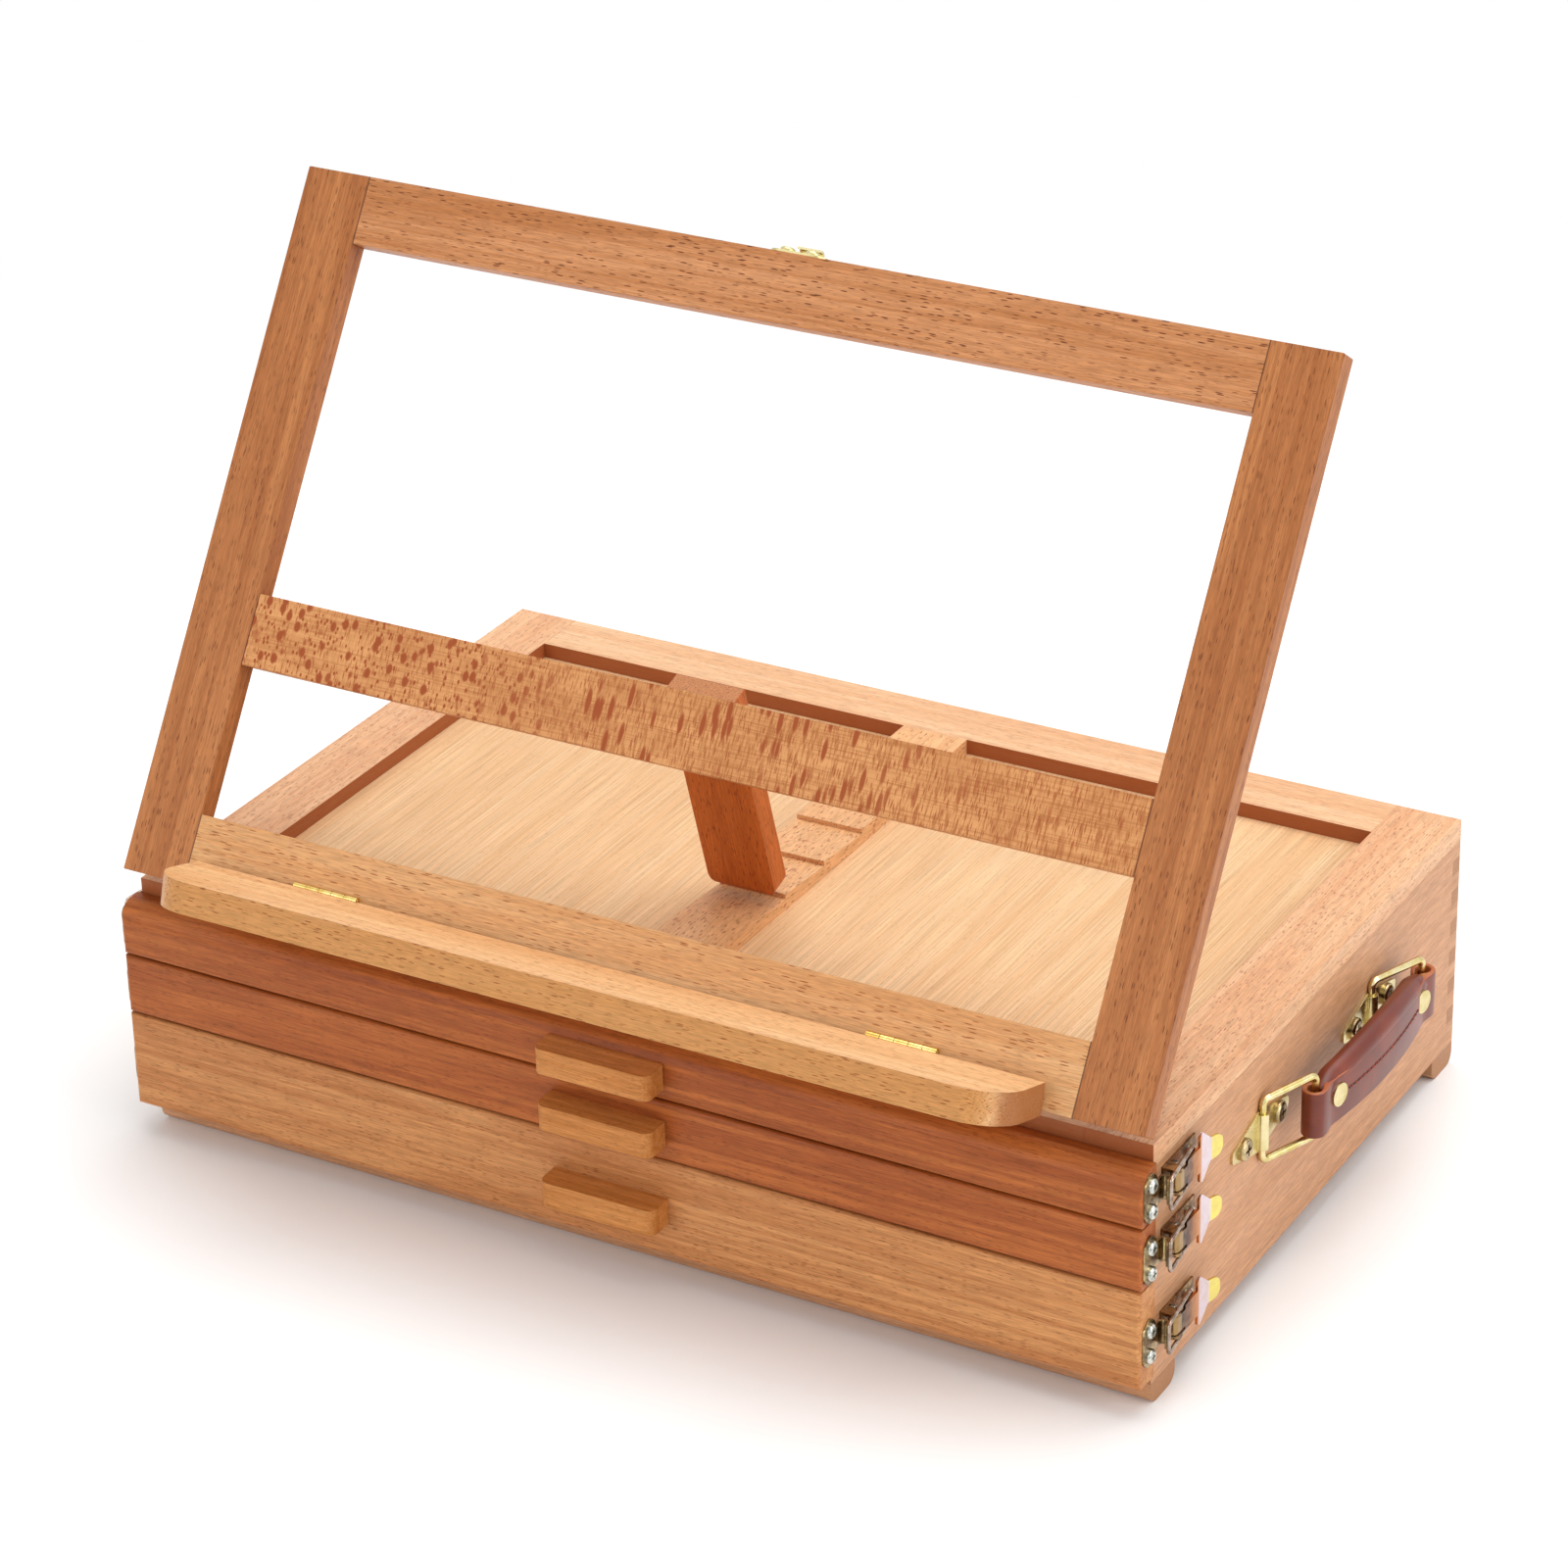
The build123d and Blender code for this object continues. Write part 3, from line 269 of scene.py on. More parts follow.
def ray_beech(name, turn, pale, deep, fleck, left_end, right_end, seam):
    """Quarter-sawn beech: red-brown ray flecks, oval at one end and drawn out across the board
    further along, over a fine weave of rays 0.8 mm apart and fibres 0.6 mm wide."""
    made, tree, shader = new_material(name, Roughness=0.44, Specular_IOR_Level=VARNISH_MIRROR)
    where = object_millimetres(tree, turn)
    along = add(tree, "MapRange", (add(tree, "SeparateXYZ", (where,)), left_end, right_end),
                **SOFT)
    rays = mottled(tree, where, (0.9, 9, 9), detail=3, rough=0.65)
    fibre = mottled(tree, where, (30, 0.6, 0.6), rough=0.6)
    patch = mottled(tree, where, (26, 11, 11))

    # The weave grows stronger to the right, where the flecks are drawn out. The ovals stay left.
    woven = add(tree, "MapRange", (rays, 0.46, 0.62), **SOFT)
    stronger = add(tree, "MapRange", (along, 0.1, 0.5, 0.35, 0.75), **SOFT)
    left = add(tree, "MapRange", (along, 0.15, 0.42, 1.0, 0.0), **SOFT)
    rising = add(tree, "MapRange", (along, 0.12, 0.35), **SOFT)
    fading = add(tree, "MapRange", (along, 0.72, 0.95, 1.0, 0.3), **SOFT)
    right = add(tree, "Math", (rising, fading), **PRODUCT)
    ticks = dashes(tree, where, (0.8, 5.0, 5.0), size=0.37, share=0.95, strength=0.75)

    layers = [(add(tree, "MapRange", (patch, 0.35, 0.65, 0.0, 0.3), **SOFT), deep),
              (add(tree, "MapRange", (fibre, 0.42, 0.7, 0.0, 0.6), **SOFT), deep),
              (add(tree, "Math", (woven, stronger), **PRODUCT), deep),
              (ticks, fleck)]
    for lengths, size, share, part in (((3.8, 6.0, 6.0), 0.42, 0.75, left),
                                       ((1.7, 2.8, 2.8), 0.38, 0.7, left),
                                       ((3.4, 15.0, 15.0), 0.38, 0.9, right)):
        marks = dashes(tree, where, lengths, size, share)
        layers.append((add(tree, "Math", (marks, part), **PRODUCT), fleck))
    layers.append((glue_line(tree, where, seam), GLUE))
    tree.links.new(layered(tree, pale, layers), shader.inputs["Base Color"])
    bumped(tree, shader, fibre, depth=0.04, strength=0.4, edge=WOOD_WEAR)
    return made


# Metal, with the slightly rounded edges of a stamping

METAL_WEAR = 0.15


def plated(name, light, dark, rough=0.24, spots=7.0):
    """Stamped or drawn steel with a bright plating: mirror-like but a little uneven, with faint
    cloudy changes of tint a few millimetres across and rolling marks half a millimetre apart."""
    made, tree, shader = new_material(name, Metallic=1.0)
    where = object_millimetres(tree)
    cloud = mottled(tree, where, (spots, spots, spots), detail=3, rough=0.6)
    clouded = add(tree, "MapRange", (cloud, 0.35, 0.65), **SOFT)
    dulled = add(tree, "MapRange", (cloud, 0.3, 0.7, rough * 0.8, rough * 1.25), **SOFT)
    tree.links.new(layered(tree, light, [(clouded, dark)]), shader.inputs["Base Color"])
    tree.links.new(dulled, shader.inputs["Roughness"])
    rolled = mottled(tree, where, (6, 0.5, 0.5))
    bumped(tree, shader, rolled, depth=0.01, strength=0.12, edge=METAL_WEAR)
    return made


def banded(name, stops, axis):
    """Plated steel whose tint changes along one axis: the colours of passivated zinc, and on the
    latch levers a dark band of painted shade in the bend. The stops are (place in millimetres on
    that axis, hex colour)."""
    made, tree, shader = new_material(name, Metallic=1.0, Roughness=0.25)
    where = object_millimetres(tree)
    side = add(tree, "SeparateXYZ", (where,)).node.outputs[axis]
    cloud = mottled(tree, where, (3, 3, 3))
    layers = [(add(tree, "MapRange", (side, low, high), **SOFT), code)
              for (low, _), (high, code) in zip(stops, stops[1:])]
    layers.append((add(tree, "MapRange", (cloud, 0.35, 0.65, 0.0, 0.25), **SOFT), "#C9A27A"))
    tree.links.new(layered(tree, stops[0][1], layers), shader.inputs["Base Color"])
    bumped(tree, shader, cloud, depth=0.01, strength=0.2, edge=METAL_WEAR)
    return made


def latch_stops(start, sign):
    """Tints along a latch lever from its barrel to its tip: yellow-brown, then nearly black in the
    bend as painted shade, copper on the shield, lilac-grey near the end and a straw-yellow tip."""
    return [(start + sign * distance, code) for distance, code in (
        # The dark stops at 11.4 and 16 mm are painted shade in the bend
        (6.0, "#94784C"), (10.6, "#9C8152"), (11.4, "#30221A"), (16.0, "#5A3420"),
        (20.0, "#A86A34"), (23.5, "#C8824A"), (25.2, "#DCD0DA"), (31.6, "#DCD0DA"),
        (32.4, "#E6DA78"))]


# Leather and thread

def leather(name, base, worn):
    """Smooth-finished split leather: a fine pebble 0.7 mm across, a soft shine and slightly paler
    high places."""
    made, tree, shader = new_material(name, Roughness=0.4, Specular_IOR_Level=0.4,
                                      Coat_Weight=0.2, Coat_Roughness=0.28)
    where = object_millimetres(tree)
    pebble = add(tree, "TexVoronoi", {"Vector": repeats(tree, where, (0.7, 0.7, 0.7)),
                                      "Scale": 1.0}, feature="SMOOTH_F1")
    patch = mottled(tree, where, (14, 14, 14), detail=3)
    layers = [(add(tree, "MapRange", (patch, 0.35, 0.7, 0.0, 0.7), **SOFT), worn),
              (add(tree, "MapRange", (pebble, 0.3, 0.7, 0.0, 0.25), **SOFT), base)]
    tree.links.new(layered(tree, base, layers), shader.inputs["Base Color"])
    bumped(tree, shader, pebble, depth=0.05, strength=0.35)
    return made


def thread(name, base):
    """Waxed sewing thread about 1 mm thick, with painted shade in the grooves between its strands
    as fine slanted bands.
    """
    made, tree, shader = new_material(name, Roughness=0.6)
    slanted = object_millimetres(tree, (0.6, 0.4, 0.0))
    strands = mottled(tree, slanted, (0.5, 0.15, 0.5), detail=1)
    # Painted shade in the grooves between the strands
    groove_shade = add(tree, "MapRange", (strands, 0.4, 0.6), **SOFT)
    tree.links.new(layered(tree, base, [(groove_shade, "#3B1510")]), shader.inputs["Base Color"])
    bumped(tree, shader, strands, depth=0.05, strength=0.5)
    return made


FINISHES = {
    # Drawer fronts: deep orange-brown boards above a paler one, with plain satin faces
    "wood_top_front": beech("beech_front_top", ALONG_X, "#BE6C32", "#96491E", "#63250C",
                            pores=0.4, streak=0.6),
    "wood_middle_front": beech("beech_front_middle", ALONG_X, "#BC6A32", "#9A4C20", "#65290C",
                               pores=0.45, streak=0.6),
    "wood_bottom_front": beech("beech_front_bottom", ALONG_X, "#DA9A60", "#BA7440", "#84451D",
                               pores=0.55, streak=0.6),
    "wood_pull": beech("beech_pull", ALONG_X, "#D89250", "#BC7230", "#844214", pores=0.4,
                       pore_length=3.4),

    # Case: pale pinkish boards with hardly any figure, whose end grain took more varnish
    "wood_side": beech("beech_case_side", ALONG_Y, "#D6A078", "#C08658", "#975B36",
                       pores=0.3, streak=0.3, tints=[(ALONG_Y, "#B07A50")]),
    "wood_back": beech("beech_case_back", ALONG_X, "#D6A078", "#C08658", "#975B36",
                       pores=0.3, streak=0.35, tints=[(ALONG_X, "#B07A50")]),

    # Deck: the palest boards, whose front edge and recess walls carry red-brown painted shade; the
    # notched stile has small ray flecks, and the panels are veneered, so that their fibres run
    # long and their pores hardly show
    "wood_deck_side": beech("beech_deck_stile", ALONG_Y, "#EDBC91", "#DA9A6C", "#A7633F",
                            pores=0.8, streak=0.45, pore_length=4.0, recess_shade_colour="#964A1C"),
    "wood_deck_rail": beech("beech_deck_rail", ALONG_X, "#EFC196", "#DEA374", "#BA8252",
                            pores=0.5, streak=0.5, recess_shade_colour="#964A1C"),
    "wood_notched": beech("beech_notched_stile", ALONG_Y, "#F0B984", "#DC9E68", "#93481E",
                          pores=1.0, streak=0.4, rays=0.5),
    "wood_panel": beech("beech_veneer_panel", ALONG_Y, "#F0C799", "#E1AB76", "#C68B57",
                        pores=0.35, streak=0.35, gloss=0.5, pore_length=4.5, fibre_length=40.0),

    # Drawer boxes and runners: poplar plywood, pale, duller than the beech and nearly poreless
    "wood_ply": beech("poplar_plywood", ALONG_Y, "#E0BE93", "#D2A97A", "#B98D5F", pores=0.2,
                      gloss=0.6),

    # Easel frame: brown stiles, and rails with long dark pores and a glue line at each shoulder
    "wood_stile": beech("beech_frame_stile", ALONG_FRAME, "#C07C48", "#9A5628", "#652F0D",
                        pores=0.75, streak=0.5, pore_length=5.6),
    "wood_rail": beech("beech_frame_rail", ACROSS_FRAME, "#CF9060", "#B06C38", "#6A2E0E",
                       pores=1.0, pore_length=6.0, seam=SEAM),
    "wood_low_rail": beech("beech_frame_low_rail", ACROSS_FRAME, "#E1AE79", "#D4975E", "#A05A28",
                           pores=0.9, pore_length=7.0, streak=0.5, seam=SEAM),
    "wood_ray": ray_beech("beech_ray_fleck_rail", ACROSS_FRAME, "#D2965F", "#A05E2C", "#96461A",
                          left_end=-180.0, right_end=185.0, seam=SEAM),

    # Prop and ledge: a deep orange leg with paler ends, and a pale ledge whose ends are darker end
    # grain deepened by painted shade, and whose front and back faces carry painted shade
    "wood_prop": beech("beech_prop", ALONG_PROP, "#CE6E30", "#B25820", "#7A2B07", pores=0.8,
                       streak=0.4, tints=[(ALONG_PROP, "#C08458")]),
    # The ledge's darker ends are end grain with painted shade added, and its darker front and back
    # faces are painted shade
    "wood_ledge": beech("beech_ledge", ACROSS_LEDGE, "#F0C08C", "#DCA068", "#96501F", pores=0.9,
                        pore_length=5.6, streak=0.5,
                        tints=[(ALONG_X, "#A4602E"), (ALONG_Y, "#CB8B4A")]),

    # Stamped brass-plated steel is a pale gold mirror, drawn wire is smoother and a little
    # brighter, and hinge leaves are a deeper yellow
    "brass": plated("brass_plated_steel", "#E3D6A6", "#C9B878", spots=12.0),
    "brass_wire": plated("brass_plated_wire", "#E6D9A8", "#D0BC78", rough=0.2),
    "brass_hinge": plated("brass_hinge", "#EBCF86", "#C79F4E", rough=0.24, spots=8.0),

    # Passivated, bronzed and nickel-plated latch parts: khaki, brown and warm grey, each with
    # darker patches a few millimetres across
    "strike": plated("yellow_passivated_strike", "#B9A276", "#6E5A42", rough=0.26, spots=4.0),
    "bronze": plated("antique_bronze", "#A98A60", "#6E543A", rough=0.3, spots=3.0),
    "bail": plated("nickel_plated_wire", "#B8A698", "#7C6454", rough=0.2, spots=4.0),
    "lever": banded("passivated_lever", latch_stops(ORIGIN.y / MM, 1), "Y"),
    "lever_rear": banded("passivated_rear_lever", latch_stops(
        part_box("latch_lever_rear")[1].z / MM + 6.6, -1), "Z"),

    # Screws: zinc is a bright neutral grey, and brass plating on them has gone brownish
    "screw_zinc": plated("zinc_plated_screw", "#D8D8D0", "#9FA6A0", rough=0.2, spots=2.0),
    "screw_brass": plated("brass_plated_screw", "#CDB98A", "#8F7A58", rough=0.22, spots=3.0),

    # Grip: deep red-brown leather, paler burnished edges, orange-red thread and dark beads of
    # painted shade in the awl holes
    "leather": leather("smooth_red_brown_leather", "#64220F", "#86381E"),
    "cut_edge": leather("burnished_leather_edge", "#9A4A26", "#C07A4C"),
    "thread": thread("waxed_red_brown_thread", "#A84428"),
    "hole_shade": thread("painted_hole_shade_in_leather", "#1E0A06"),
}


def finish_nodes(names, finish):
    """Gives CAD nodes their finish."""
    for name in names:
        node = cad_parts[name]
        node.data.materials.clear()
        node.data.materials.append(FINISHES[finish])


def drawer_nodes(part):
    """The same part of all three drawers."""
    return [f"drawer_{name}_{part}" for name in ("top", "middle", "bottom")]


def nodes_like(start):
    return sorted(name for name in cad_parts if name.startswith(start))


finish_nodes(["drawer_top_front"], "wood_top_front")
finish_nodes(["drawer_middle_front"], "wood_middle_front")
finish_nodes(["drawer_bottom_front"], "wood_bottom_front")
finish_nodes(drawer_nodes("pull"), "wood_pull")
finish_nodes(drawer_nodes("box") + ["drawer_runners"], "wood_ply")
finish_nodes(["side_left", "side_right", "bottom_board"], "wood_side")
finish_nodes(["back_panel", "foot_rails"], "wood_back")
finish_nodes(["deck_stiles"], "wood_deck_side")
finish_nodes(["deck_rails"], "wood_deck_rail")
finish_nodes(["deck_center_stile"], "wood_notched")
finish_nodes(["deck_panels"], "wood_panel")
finish_nodes(["easel_stiles"], "wood_stile")
finish_nodes(["easel_top_rail"], "wood_rail")
finish_nodes(["easel_bottom_rail"], "wood_low_rail")
finish_nodes(["easel_mid_rail"], "wood_ray")
finish_nodes(["prop_leg"], "wood_prop")
finish_nodes(["canvas_ledge"], "wood_ledge")
finish_nodes(["latch_bases"], "bronze")
finish_nodes(["handle_plates", "catch_plate", "handle_rivets"], "brass")
finish_nodes(drawer_nodes("strikes"), "strike")
finish_nodes(["handle_ring_front", "handle_ring_rear"], "brass_wire")
finish_nodes(drawer_nodes("screws") + ["latch_screws"], "screw_zinc")
finish_nodes(["handle_screws"], "screw_brass")
finish_nodes(nodes_like("latch_bail"), "bail")
finish_nodes([name for name in nodes_like("latch_lever") if "rear" not in name], "lever")
finish_nodes(["latch_lever_rear"], "lever_rear")
finish_nodes([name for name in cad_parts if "hinge_lea" in name], "brass_hinge")


# Leather grip: the wire bars of the two rings that it hangs in

HANDLE_Z = -38.5
RING_BAR_OUT = 10.618
RING_BARS = (107.606, 200.806)
RING_HALF_HEIGHT = 12.2
RING_WIRE = 1.4

# The folded strap with its loops, bowed outwards

GRIP_REST_GAP = 0.3
GRIP_LOW = HANDLE_Z - RING_HALF_HEIGHT + RING_WIRE + GRIP_REST_GAP
GRIP_HEIGHT = 18.0
GRIP_OUT = 0.2
GRIP_BOW = 5.0
LOOP_SHIFT = 1.1
LOOP_OUTER = 4.5
LOOP_NECK = 9.0
LOOP_HOLE = 2.7
HOLE_NECK = LOOP_NECK * 0.7
HOLE_WALL = 0.4
FLANGE_HALF = 2.25
EDGE_BEVEL = 0.5

# The padded roll along its top

ROLL_RADIUS = 4.3
ROLL_INSET = 2.0
ROLL_RISE = 4.8
ROLL_START = 2.9
ROLL_TAPER = 9.0
ROLL_END = 0.42

# Stitches, and the dark beads of painted shade in the awl holes: half their size outwards, along
# the row and upwards

STITCH_START = 17.0
STITCH_PITCH = 3.1
STITCH_HEIGHT = 10.2
STITCH_HALVES = (0.42, 1.2, 0.5)
STITCH_PROUD = 0.1
STITCH_LEAN = math.radians(-8)
HOLE_SHADE_HALVES = (0.2, 0.5, 0.6)
HOLE_SHADE_PROUD = 0.03

# Steps of the outlines, and the limits for one point and for a sharp edge

TIP_STEPS = 10
STRAP_STEPS = 24
HOLE_STEPS = 8
ROLL_STEPS = 64
SAME_POINT = 0.002
SHARP_ANGLE = math.radians(40)


def grip_curve():
    """Centre and radius of the grip's bow in plan, and half the angle between its loops."""
    half = (RING_BARS[1] - RING_BARS[0]) / 2 + LOOP_SHIFT
    radius = (half ** 2 + GRIP_BOW ** 2) / (2 * GRIP_BOW)
    out = CASE_HALF + RING_BAR_OUT + GRIP_OUT + GRIP_BOW - radius
    return out, sum(RING_BARS) / 2, radius, math.asin(half / radius)


BOW_X, BOW_Y, BOW_RADIUS, BOW_HALF_ANGLE = grip_curve()
GRIP_LENGTH = 2 * BOW_HALF_ANGLE * BOW_RADIUS


def smooth_share(value):
    """Goes from 0 to 1 with a soft start and end."""
    value = min(max(value, 0.0), 1.0)
    return value * value * (3 - 2 * value)


def along_grip(reach, offset, z=0.0):
    """A point so far along the bow from the front loop, set outward by the offset."""
    angle = reach / BOW_RADIUS - BOW_HALF_ANGLE
    away = BOW_RADIUS + offset
    return Vector((BOW_X + away * math.cos(angle), BOW_Y + away * math.sin(angle), z))


def band_half(reach):
    """Half the band's thickness: a loop at each end that necks down to the stitched flange."""
    inside = min(reach, GRIP_LENGTH - reach)
    if inside < 0:
        return math.sqrt(max(LOOP_OUTER ** 2 - inside ** 2, 0.0))
    return LOOP_OUTER + (FLANGE_HALF - LOOP_OUTER) * smooth_share(inside / LOOP_NECK)


def hole_half(inside):
    """Half the hollow of a loop: round about the wire, and pinched shut at its neck."""
    if inside < 0:
        return math.sqrt(max(LOOP_HOLE ** 2 - inside ** 2, 0.0))
    return LOOP_HOLE * (1 - smooth_share(inside / HOLE_NECK))


def stations(radius, steps, length):
    """Distances from one tip of a loop's outline, close together where it is round."""
    rounded = [-radius * math.cos(math.pi / 2 * step / TIP_STEPS) for step in range(TIP_STEPS)]
    return rounded + [length * step / steps for step in range(steps)]


def outline(reaches, half, reverse):
    """Points up one side of the bow and down the other, the tips taken once."""
    points = [along_grip(reach, half(reach)) for reach in reaches]
    points += [along_grip(reach, -half(reach)) for reach in reversed(reaches[1:-1])]
    return points[::-1] if reverse else points


def add_spline(data, points, radii=None, cyclic=False):
    """Adds one run of points to a curve, with a radius for each."""
    spline = data.splines.new("POLY")
    spline.points.add(len(points) - 1)
    for index, point in enumerate(points):
        spline.points[index].co = (*point, 1.0)
        spline.points[index].radius = radii[index] if radii else 1.0
    spline.use_cyclic_u = cyclic


def curve_mesh(data):
    """The curve's solid as a closed bmesh."""
    holder = bpy.data.objects.new("outline", data)
    bpy.context.scene.collection.objects.link(holder)
    ready = holder.evaluated_get(bpy.context.evaluated_depsgraph_get())
    solid = bpy.data.meshes.new_from_object(ready)
    mesh = bmesh.new()
    mesh.from_mesh(solid)
    bmesh.ops.remove_doubles(mesh, verts=mesh.verts, dist=SAME_POINT)
    bpy.data.objects.remove(holder)
    bpy.data.curves.remove(data)
    bpy.data.meshes.remove(solid)
    return mesh


def new_piece(name, mesh, body, finishes):
    """Turns a bmesh in millimetres into a piece that rides on a body."""
    bmesh.ops.recalc_face_normals(mesh, faces=mesh.faces)
    bmesh.ops.transform(mesh, matrix=Matrix.Translation(ORIGIN) @ Matrix.Scale(MM, 4),
                        verts=mesh.verts)
    data = bpy.data.meshes.new(name)
    mesh.to_mesh(data)
    mesh.free()
    data.shade_smooth()
    data.set_sharp_from_angle(angle=SHARP_ANGLE)
    for finish in finishes:
        data.materials.append(FINISHES[finish])
    piece = bpy.data.objects.new(name, data)
    bpy.context.scene.collection.objects.link(piece)
    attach(piece, body)
    return piece


def grip_band():
    """The folded strap: a flange between two flattened loops, with burnished cut edges."""
    first = stations(LOOP_OUTER, STRAP_STEPS, GRIP_LENGTH / 2)
    reaches = first + [GRIP_LENGTH - reach for reach in reversed(first)]
    data = bpy.data.curves.new("band", "CURVE")
    data.dimensions = "2D"
    data.fill_mode = "BOTH"
    data.extrude = GRIP_HEIGHT / 2 - EDGE_BEVEL
    data.bevel_depth = EDGE_BEVEL
    data.bevel_resolution = 2
    data.offset = -EDGE_BEVEL
    add_spline(data, outline(reaches, band_half, False), cyclic=True)
    hole = outline(stations(LOOP_HOLE, HOLE_STEPS, HOLE_NECK) + [HOLE_NECK], hole_half, True)
    loops = [along_grip(reach, 0) for reach in (0, GRIP_LENGTH)]
    add_spline(data, hole, cyclic=True)
    add_spline(data, [loops[0] + loops[1] - point for point in hole], cyclic=True)
    mesh = curve_mesh(data)
    for face in mesh.faces:
        middle = face.calc_center_median()
        near = min((middle - loop).to_2d().length for loop in loops)
        cut = abs(face.normal.z) > 0.5 or near < LOOP_HOLE + HOLE_WALL
        face.material_index = int(cut)
    bmesh.ops.translate(mesh, verts=mesh.verts, vec=(0, 0, GRIP_LOW + GRIP_HEIGHT / 2))
    piece = new_piece("grip_band", mesh, "handle_grip", ("leather", "cut_edge"))
    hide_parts("handle_grip")


def grip_roll():
    """The cord-filled roll along the top, arched in the middle and drawn in beside the loops."""
    data = bpy.data.curves.new("roll", "CURVE")
    data.dimensions = "3D"
    data.bevel_depth = ROLL_RADIUS
    data.bevel_resolution = 8
    data.use_fill_caps = True
    data.twist_mode = "Z_UP"
    points, radii = [], []
    for step in range(ROLL_STEPS + 1):
        share = (1 - math.cos(math.pi * step / ROLL_STEPS)) / 2
        reach = ROLL_START + (GRIP_LENGTH - 2 * ROLL_START) * share
        part = reach / GRIP_LENGTH
        inside = min(reach, GRIP_LENGTH - reach) - ROLL_START
        full = min(max(inside / ROLL_TAPER, 0.0), 1.0)
        arch = ROLL_RISE * 4 * part * (1 - part)
        z = GRIP_LOW + GRIP_HEIGHT - ROLL_RADIUS + arch
        points.append(along_grip(reach, -ROLL_INSET * full, z))
        radii.append(ROLL_END + (1 - ROLL_END) * math.sqrt(1 - (1 - full) ** 2))
    add_spline(data, points, radii)
    piece = new_piece("grip_roll", curve_mesh(data), "handle_grip", ("leather",))


def stitch_row(name, finish, offset, halves, lean, early):
    """One bead with the given half sizes, spun along the bow. The row starts early by a share of a
    step, so that the dark beads of painted awl-hole shade lie between the stitches."""
    mesh = bmesh.new()
    bmesh.ops.create_uvsphere(mesh, u_segments=10, v_segments=6, radius=1.0)
    count = int((GRIP_LENGTH - 2 * STITCH_START) / STITCH_PITCH)
    step = STITCH_PITCH / BOW_RADIUS
    center = Vector((BOW_X, BOW_Y, 0))
    turn = Matrix.Rotation(-step * (count / 2 + early), 4, "Z")
    out = Matrix.Translation((BOW_RADIUS + offset, 0, GRIP_LOW + STITCH_HEIGHT))
    bmesh.ops.transform(mesh, verts=mesh.verts, matrix=Matrix.Translation(center) @ turn @ out @
                        Matrix.Rotation(lean, 4, "X") @ Matrix.Diagonal((*halves, 1.0)))
    bmesh.ops.spin(mesh, geom=mesh.faces[:] + mesh.edges[:] + mesh.verts[:], cent=center,
                   axis=(0, 0, 1), angle=step * count, steps=count, use_duplicate=True)
    new_piece(name, mesh, "handle_grip", (finish,))


def stitching():
    """Two rows of waxed stitches on the flange, with dark beads between them as painted shade in
    the awl holes that they dip into.
    """
    for side, sign in (("outer", 1), ("inner", -1)):
        stitch_row(f"stitches_{side}", "thread", sign * (FLANGE_HALF + STITCH_PROUD),
                   STITCH_HALVES, STITCH_LEAN, 0)
        # Dark beads that stand for the shade inside the awl holes
        stitch_row(f"hole_shade_beads_{side}", "hole_shade", sign * (FLANGE_HALF + HOLE_SHADE_PROUD),
                   HOLE_SHADE_HALVES, 0.0, 0.5)


grip_band()
grip_roll()
stitching()


# Floor, light and camera, in metres

WHITE = "#FFFFFF"
ROOM_LIGHT = 0.6
FLOOR_RADIUS = 4.0
FLOOR_FADES_FROM = 0.45
FLOOR_WHITE_FROM = 1.0


def background_rays(tree):
    """1 for what the camera sees, straight or in a reflection or through glass, 0 for the light
    that falls on the object."""
    path = add(tree, "LightPath").node.outputs
    seen = path["Is Camera Ray"]
    for ray in ("Is Glossy Ray", "Is Transmission Ray"):
        seen = add(tree, "Math", (seen, path[ray]), **LARGER)
    return seen


def surroundings():
    """White to the camera and in reflections, a plain even light on everything else."""
    world = bpy.data.worlds.new("studio")
    bpy.context.scene.world = world
    world.use_nodes = True
    tree = world.node_tree
    tree.nodes.clear()
    light = add(tree, "Background", {"Color": WHITE, "Strength": ROOM_LIGHT})
    shown = add(tree, "Background", {"Color": WHITE, "Strength": 1.0})
    joined = add(tree, "MixShader", (background_rays(tree), light, shown))
    add(tree, "OutputWorld", {"Surface": joined})


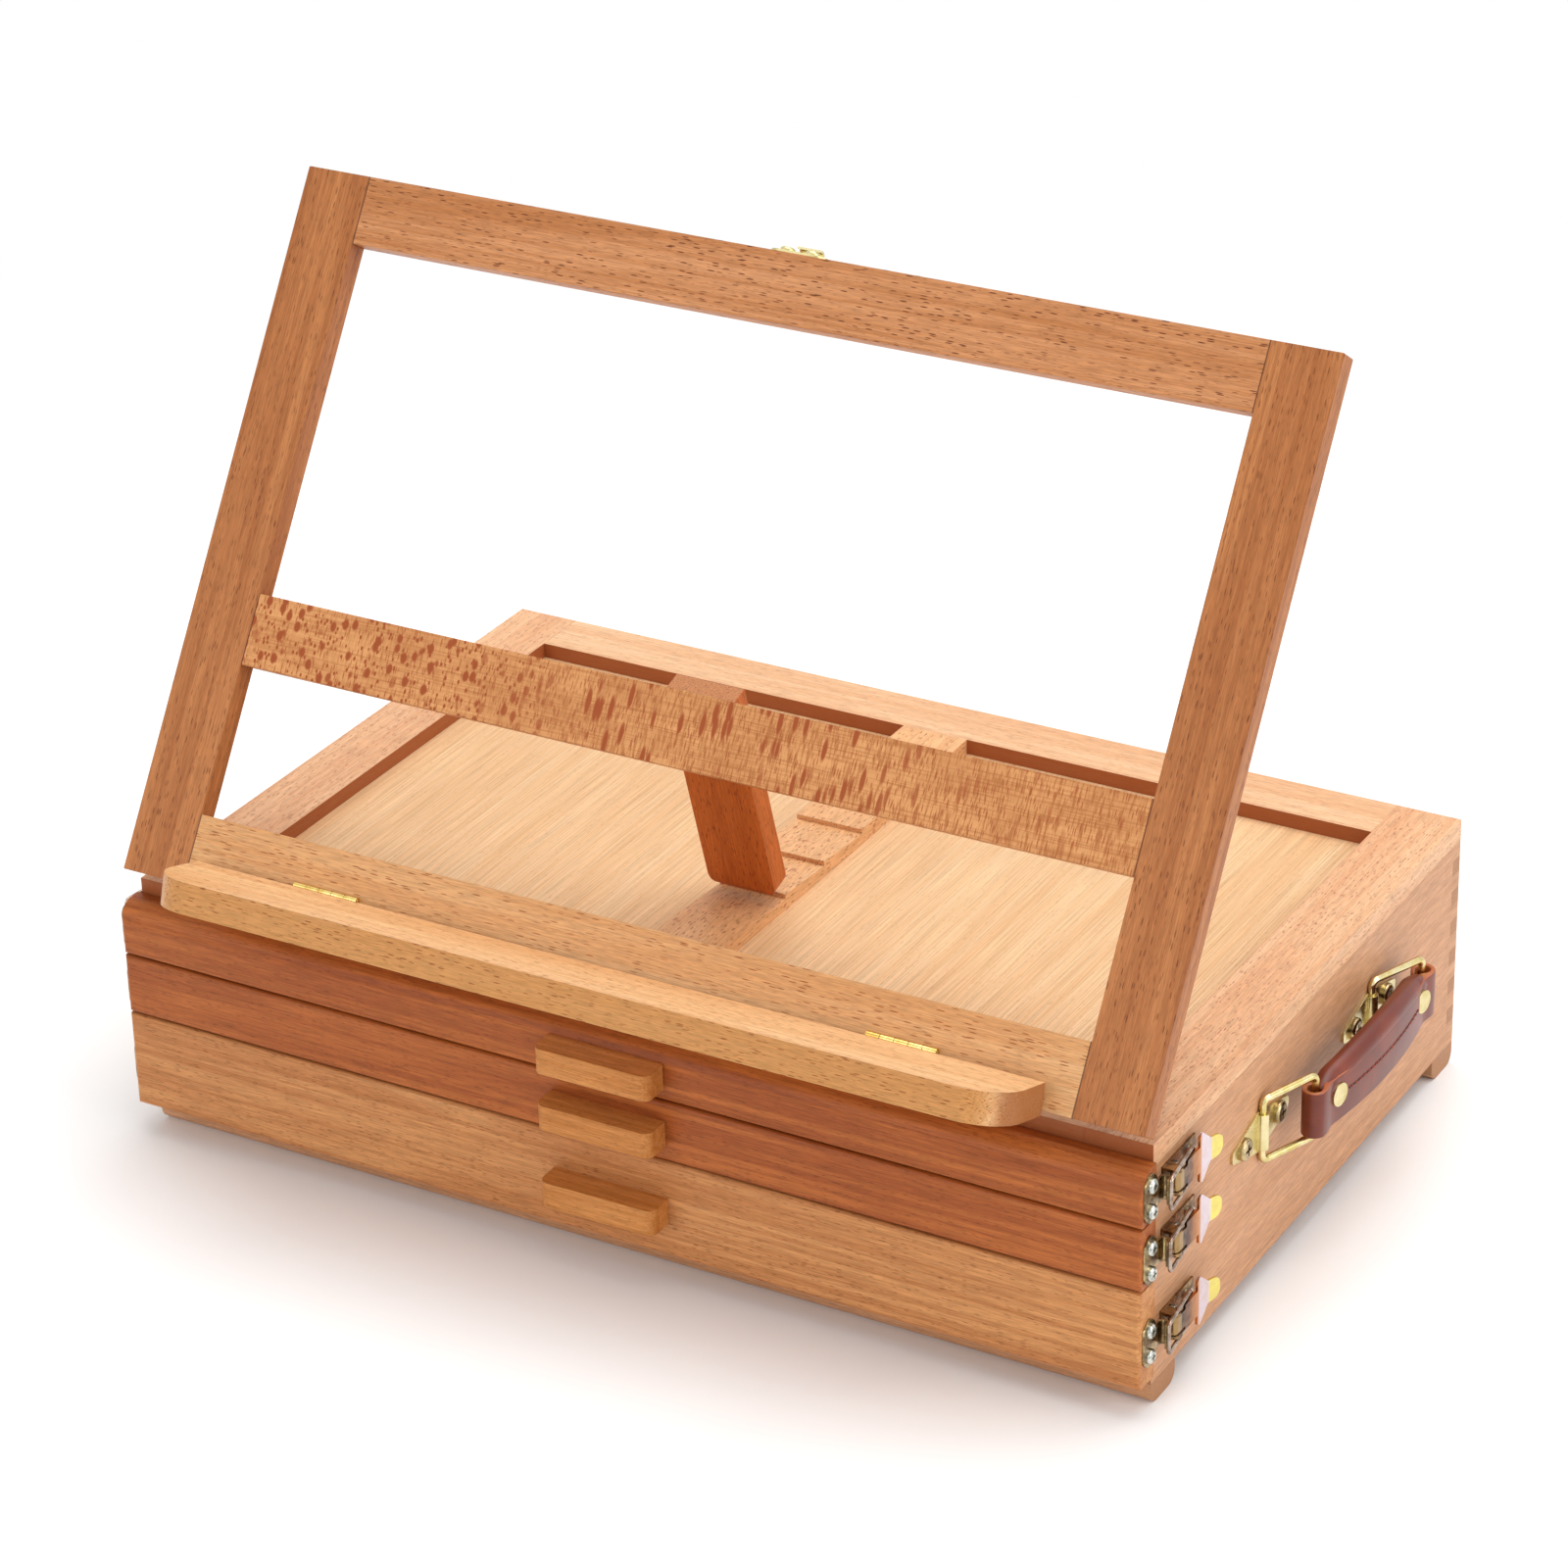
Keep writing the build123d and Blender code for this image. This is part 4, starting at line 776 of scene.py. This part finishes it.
def floor():
    """A pale matt floor. Away from the object the camera sees it turn to plain white, so that no
    far edge shows, and the object's shadow stays."""
    mesh = bmesh.new()
    bmesh.ops.create_circle(mesh, cap_ends=True, segments=96, radius=FLOOR_RADIUS)
    data = bpy.data.meshes.new("floor")
    mesh.to_mesh(data)
    mesh.free()
    made, tree, shader = new_material("matt_white_paper", Base_Color=linear("#F7F7F7"),
                                      Roughness=0.9, Specular_IOR_Level=0.2)
    middle = add(tree, "TexCoord").node.outputs["Object"]
    away = add(tree, "VectorMath", (middle,), operation="LENGTH")
    faded = add(tree, "MapRange", (away, FLOOR_FADES_FROM, FLOOR_WHITE_FROM), **SOFT)
    share = add(tree, "Math", (faded, background_rays(tree)), **PRODUCT)
    white = add(tree, "Emission", {"Color": WHITE, "Strength": 1.0})
    joined = add(tree, "MixShader", (share, shader.outputs[0], white))
    tree.links.new(joined, tree.nodes["Material Output"].inputs["Surface"])
    data.materials.append(made)
    piece = bpy.data.objects.new("floor", data)
    bpy.context.scene.collection.objects.link(piece)


def softbox(name, at, towards, size, power):
    """A large rectangular studio lamp that faces the object."""
    data = bpy.data.lights.new(name, "AREA")
    data.shape = "RECTANGLE"
    data.size, data.size_y = size
    data.energy = power
    lamp = bpy.data.objects.new(name, data)
    bpy.context.scene.collection.objects.link(lamp)
    lamp.location = at
    lamp.rotation_euler = (Vector(towards) - Vector(at)).to_track_quat("-Z", "Y").to_euler()


VIEW_AZIMUTH = math.radians(30.23)
VIEW_ELEVATION = math.radians(26.94)
VIEW_ROLL = math.radians(-1.47)
VIEW_DISTANCE = 1.780946
VIEW_TARGET = (-1.938, 120.0, 30.737)
VIEW_LENS = 112.87


def camera():
    """The photograph's viewpoint: above the front right corner, tilted a little."""
    data = bpy.data.cameras.new("camera")
    data.lens = VIEW_LENS
    data.sensor_width = 36.0
    data.clip_end = 50.0
    eye = bpy.data.objects.new("camera", data)
    bpy.context.scene.collection.objects.link(eye)
    level = math.cos(VIEW_ELEVATION)
    back = Vector((math.sin(VIEW_AZIMUTH) * level, -math.cos(VIEW_AZIMUTH) * level,
                   math.sin(VIEW_ELEVATION)))
    right = Vector((0, 0, 1)).cross(back).normalized()
    up = back.cross(right)
    across = right * math.cos(VIEW_ROLL) + up * math.sin(VIEW_ROLL)
    upright = up * math.cos(VIEW_ROLL) - right * math.sin(VIEW_ROLL)
    turn = Matrix((across, upright, back)).transposed().to_4x4()
    eye.matrix_world = Matrix.Translation(place(*VIEW_TARGET) + back * VIEW_DISTANCE) @ turn
    bpy.context.scene.camera = eye


surroundings()
floor()
softbox("top_light", at=(0.15, 0.35, 2.2), towards=(0, 0.05, 0.1), size=(2.2, 2.0), power=40)
softbox("right_light", at=(2.3, -0.1, 1.1), towards=(0, 0, 0.1), size=(1.6, 1.6), power=20)
softbox("front_light", at=(-0.9, -2.4, 1.2), towards=(0, 0, 0.1), size=(1.8, 1.4), power=16)
camera()
bpy.context.scene.view_settings.view_transform = "Standard"
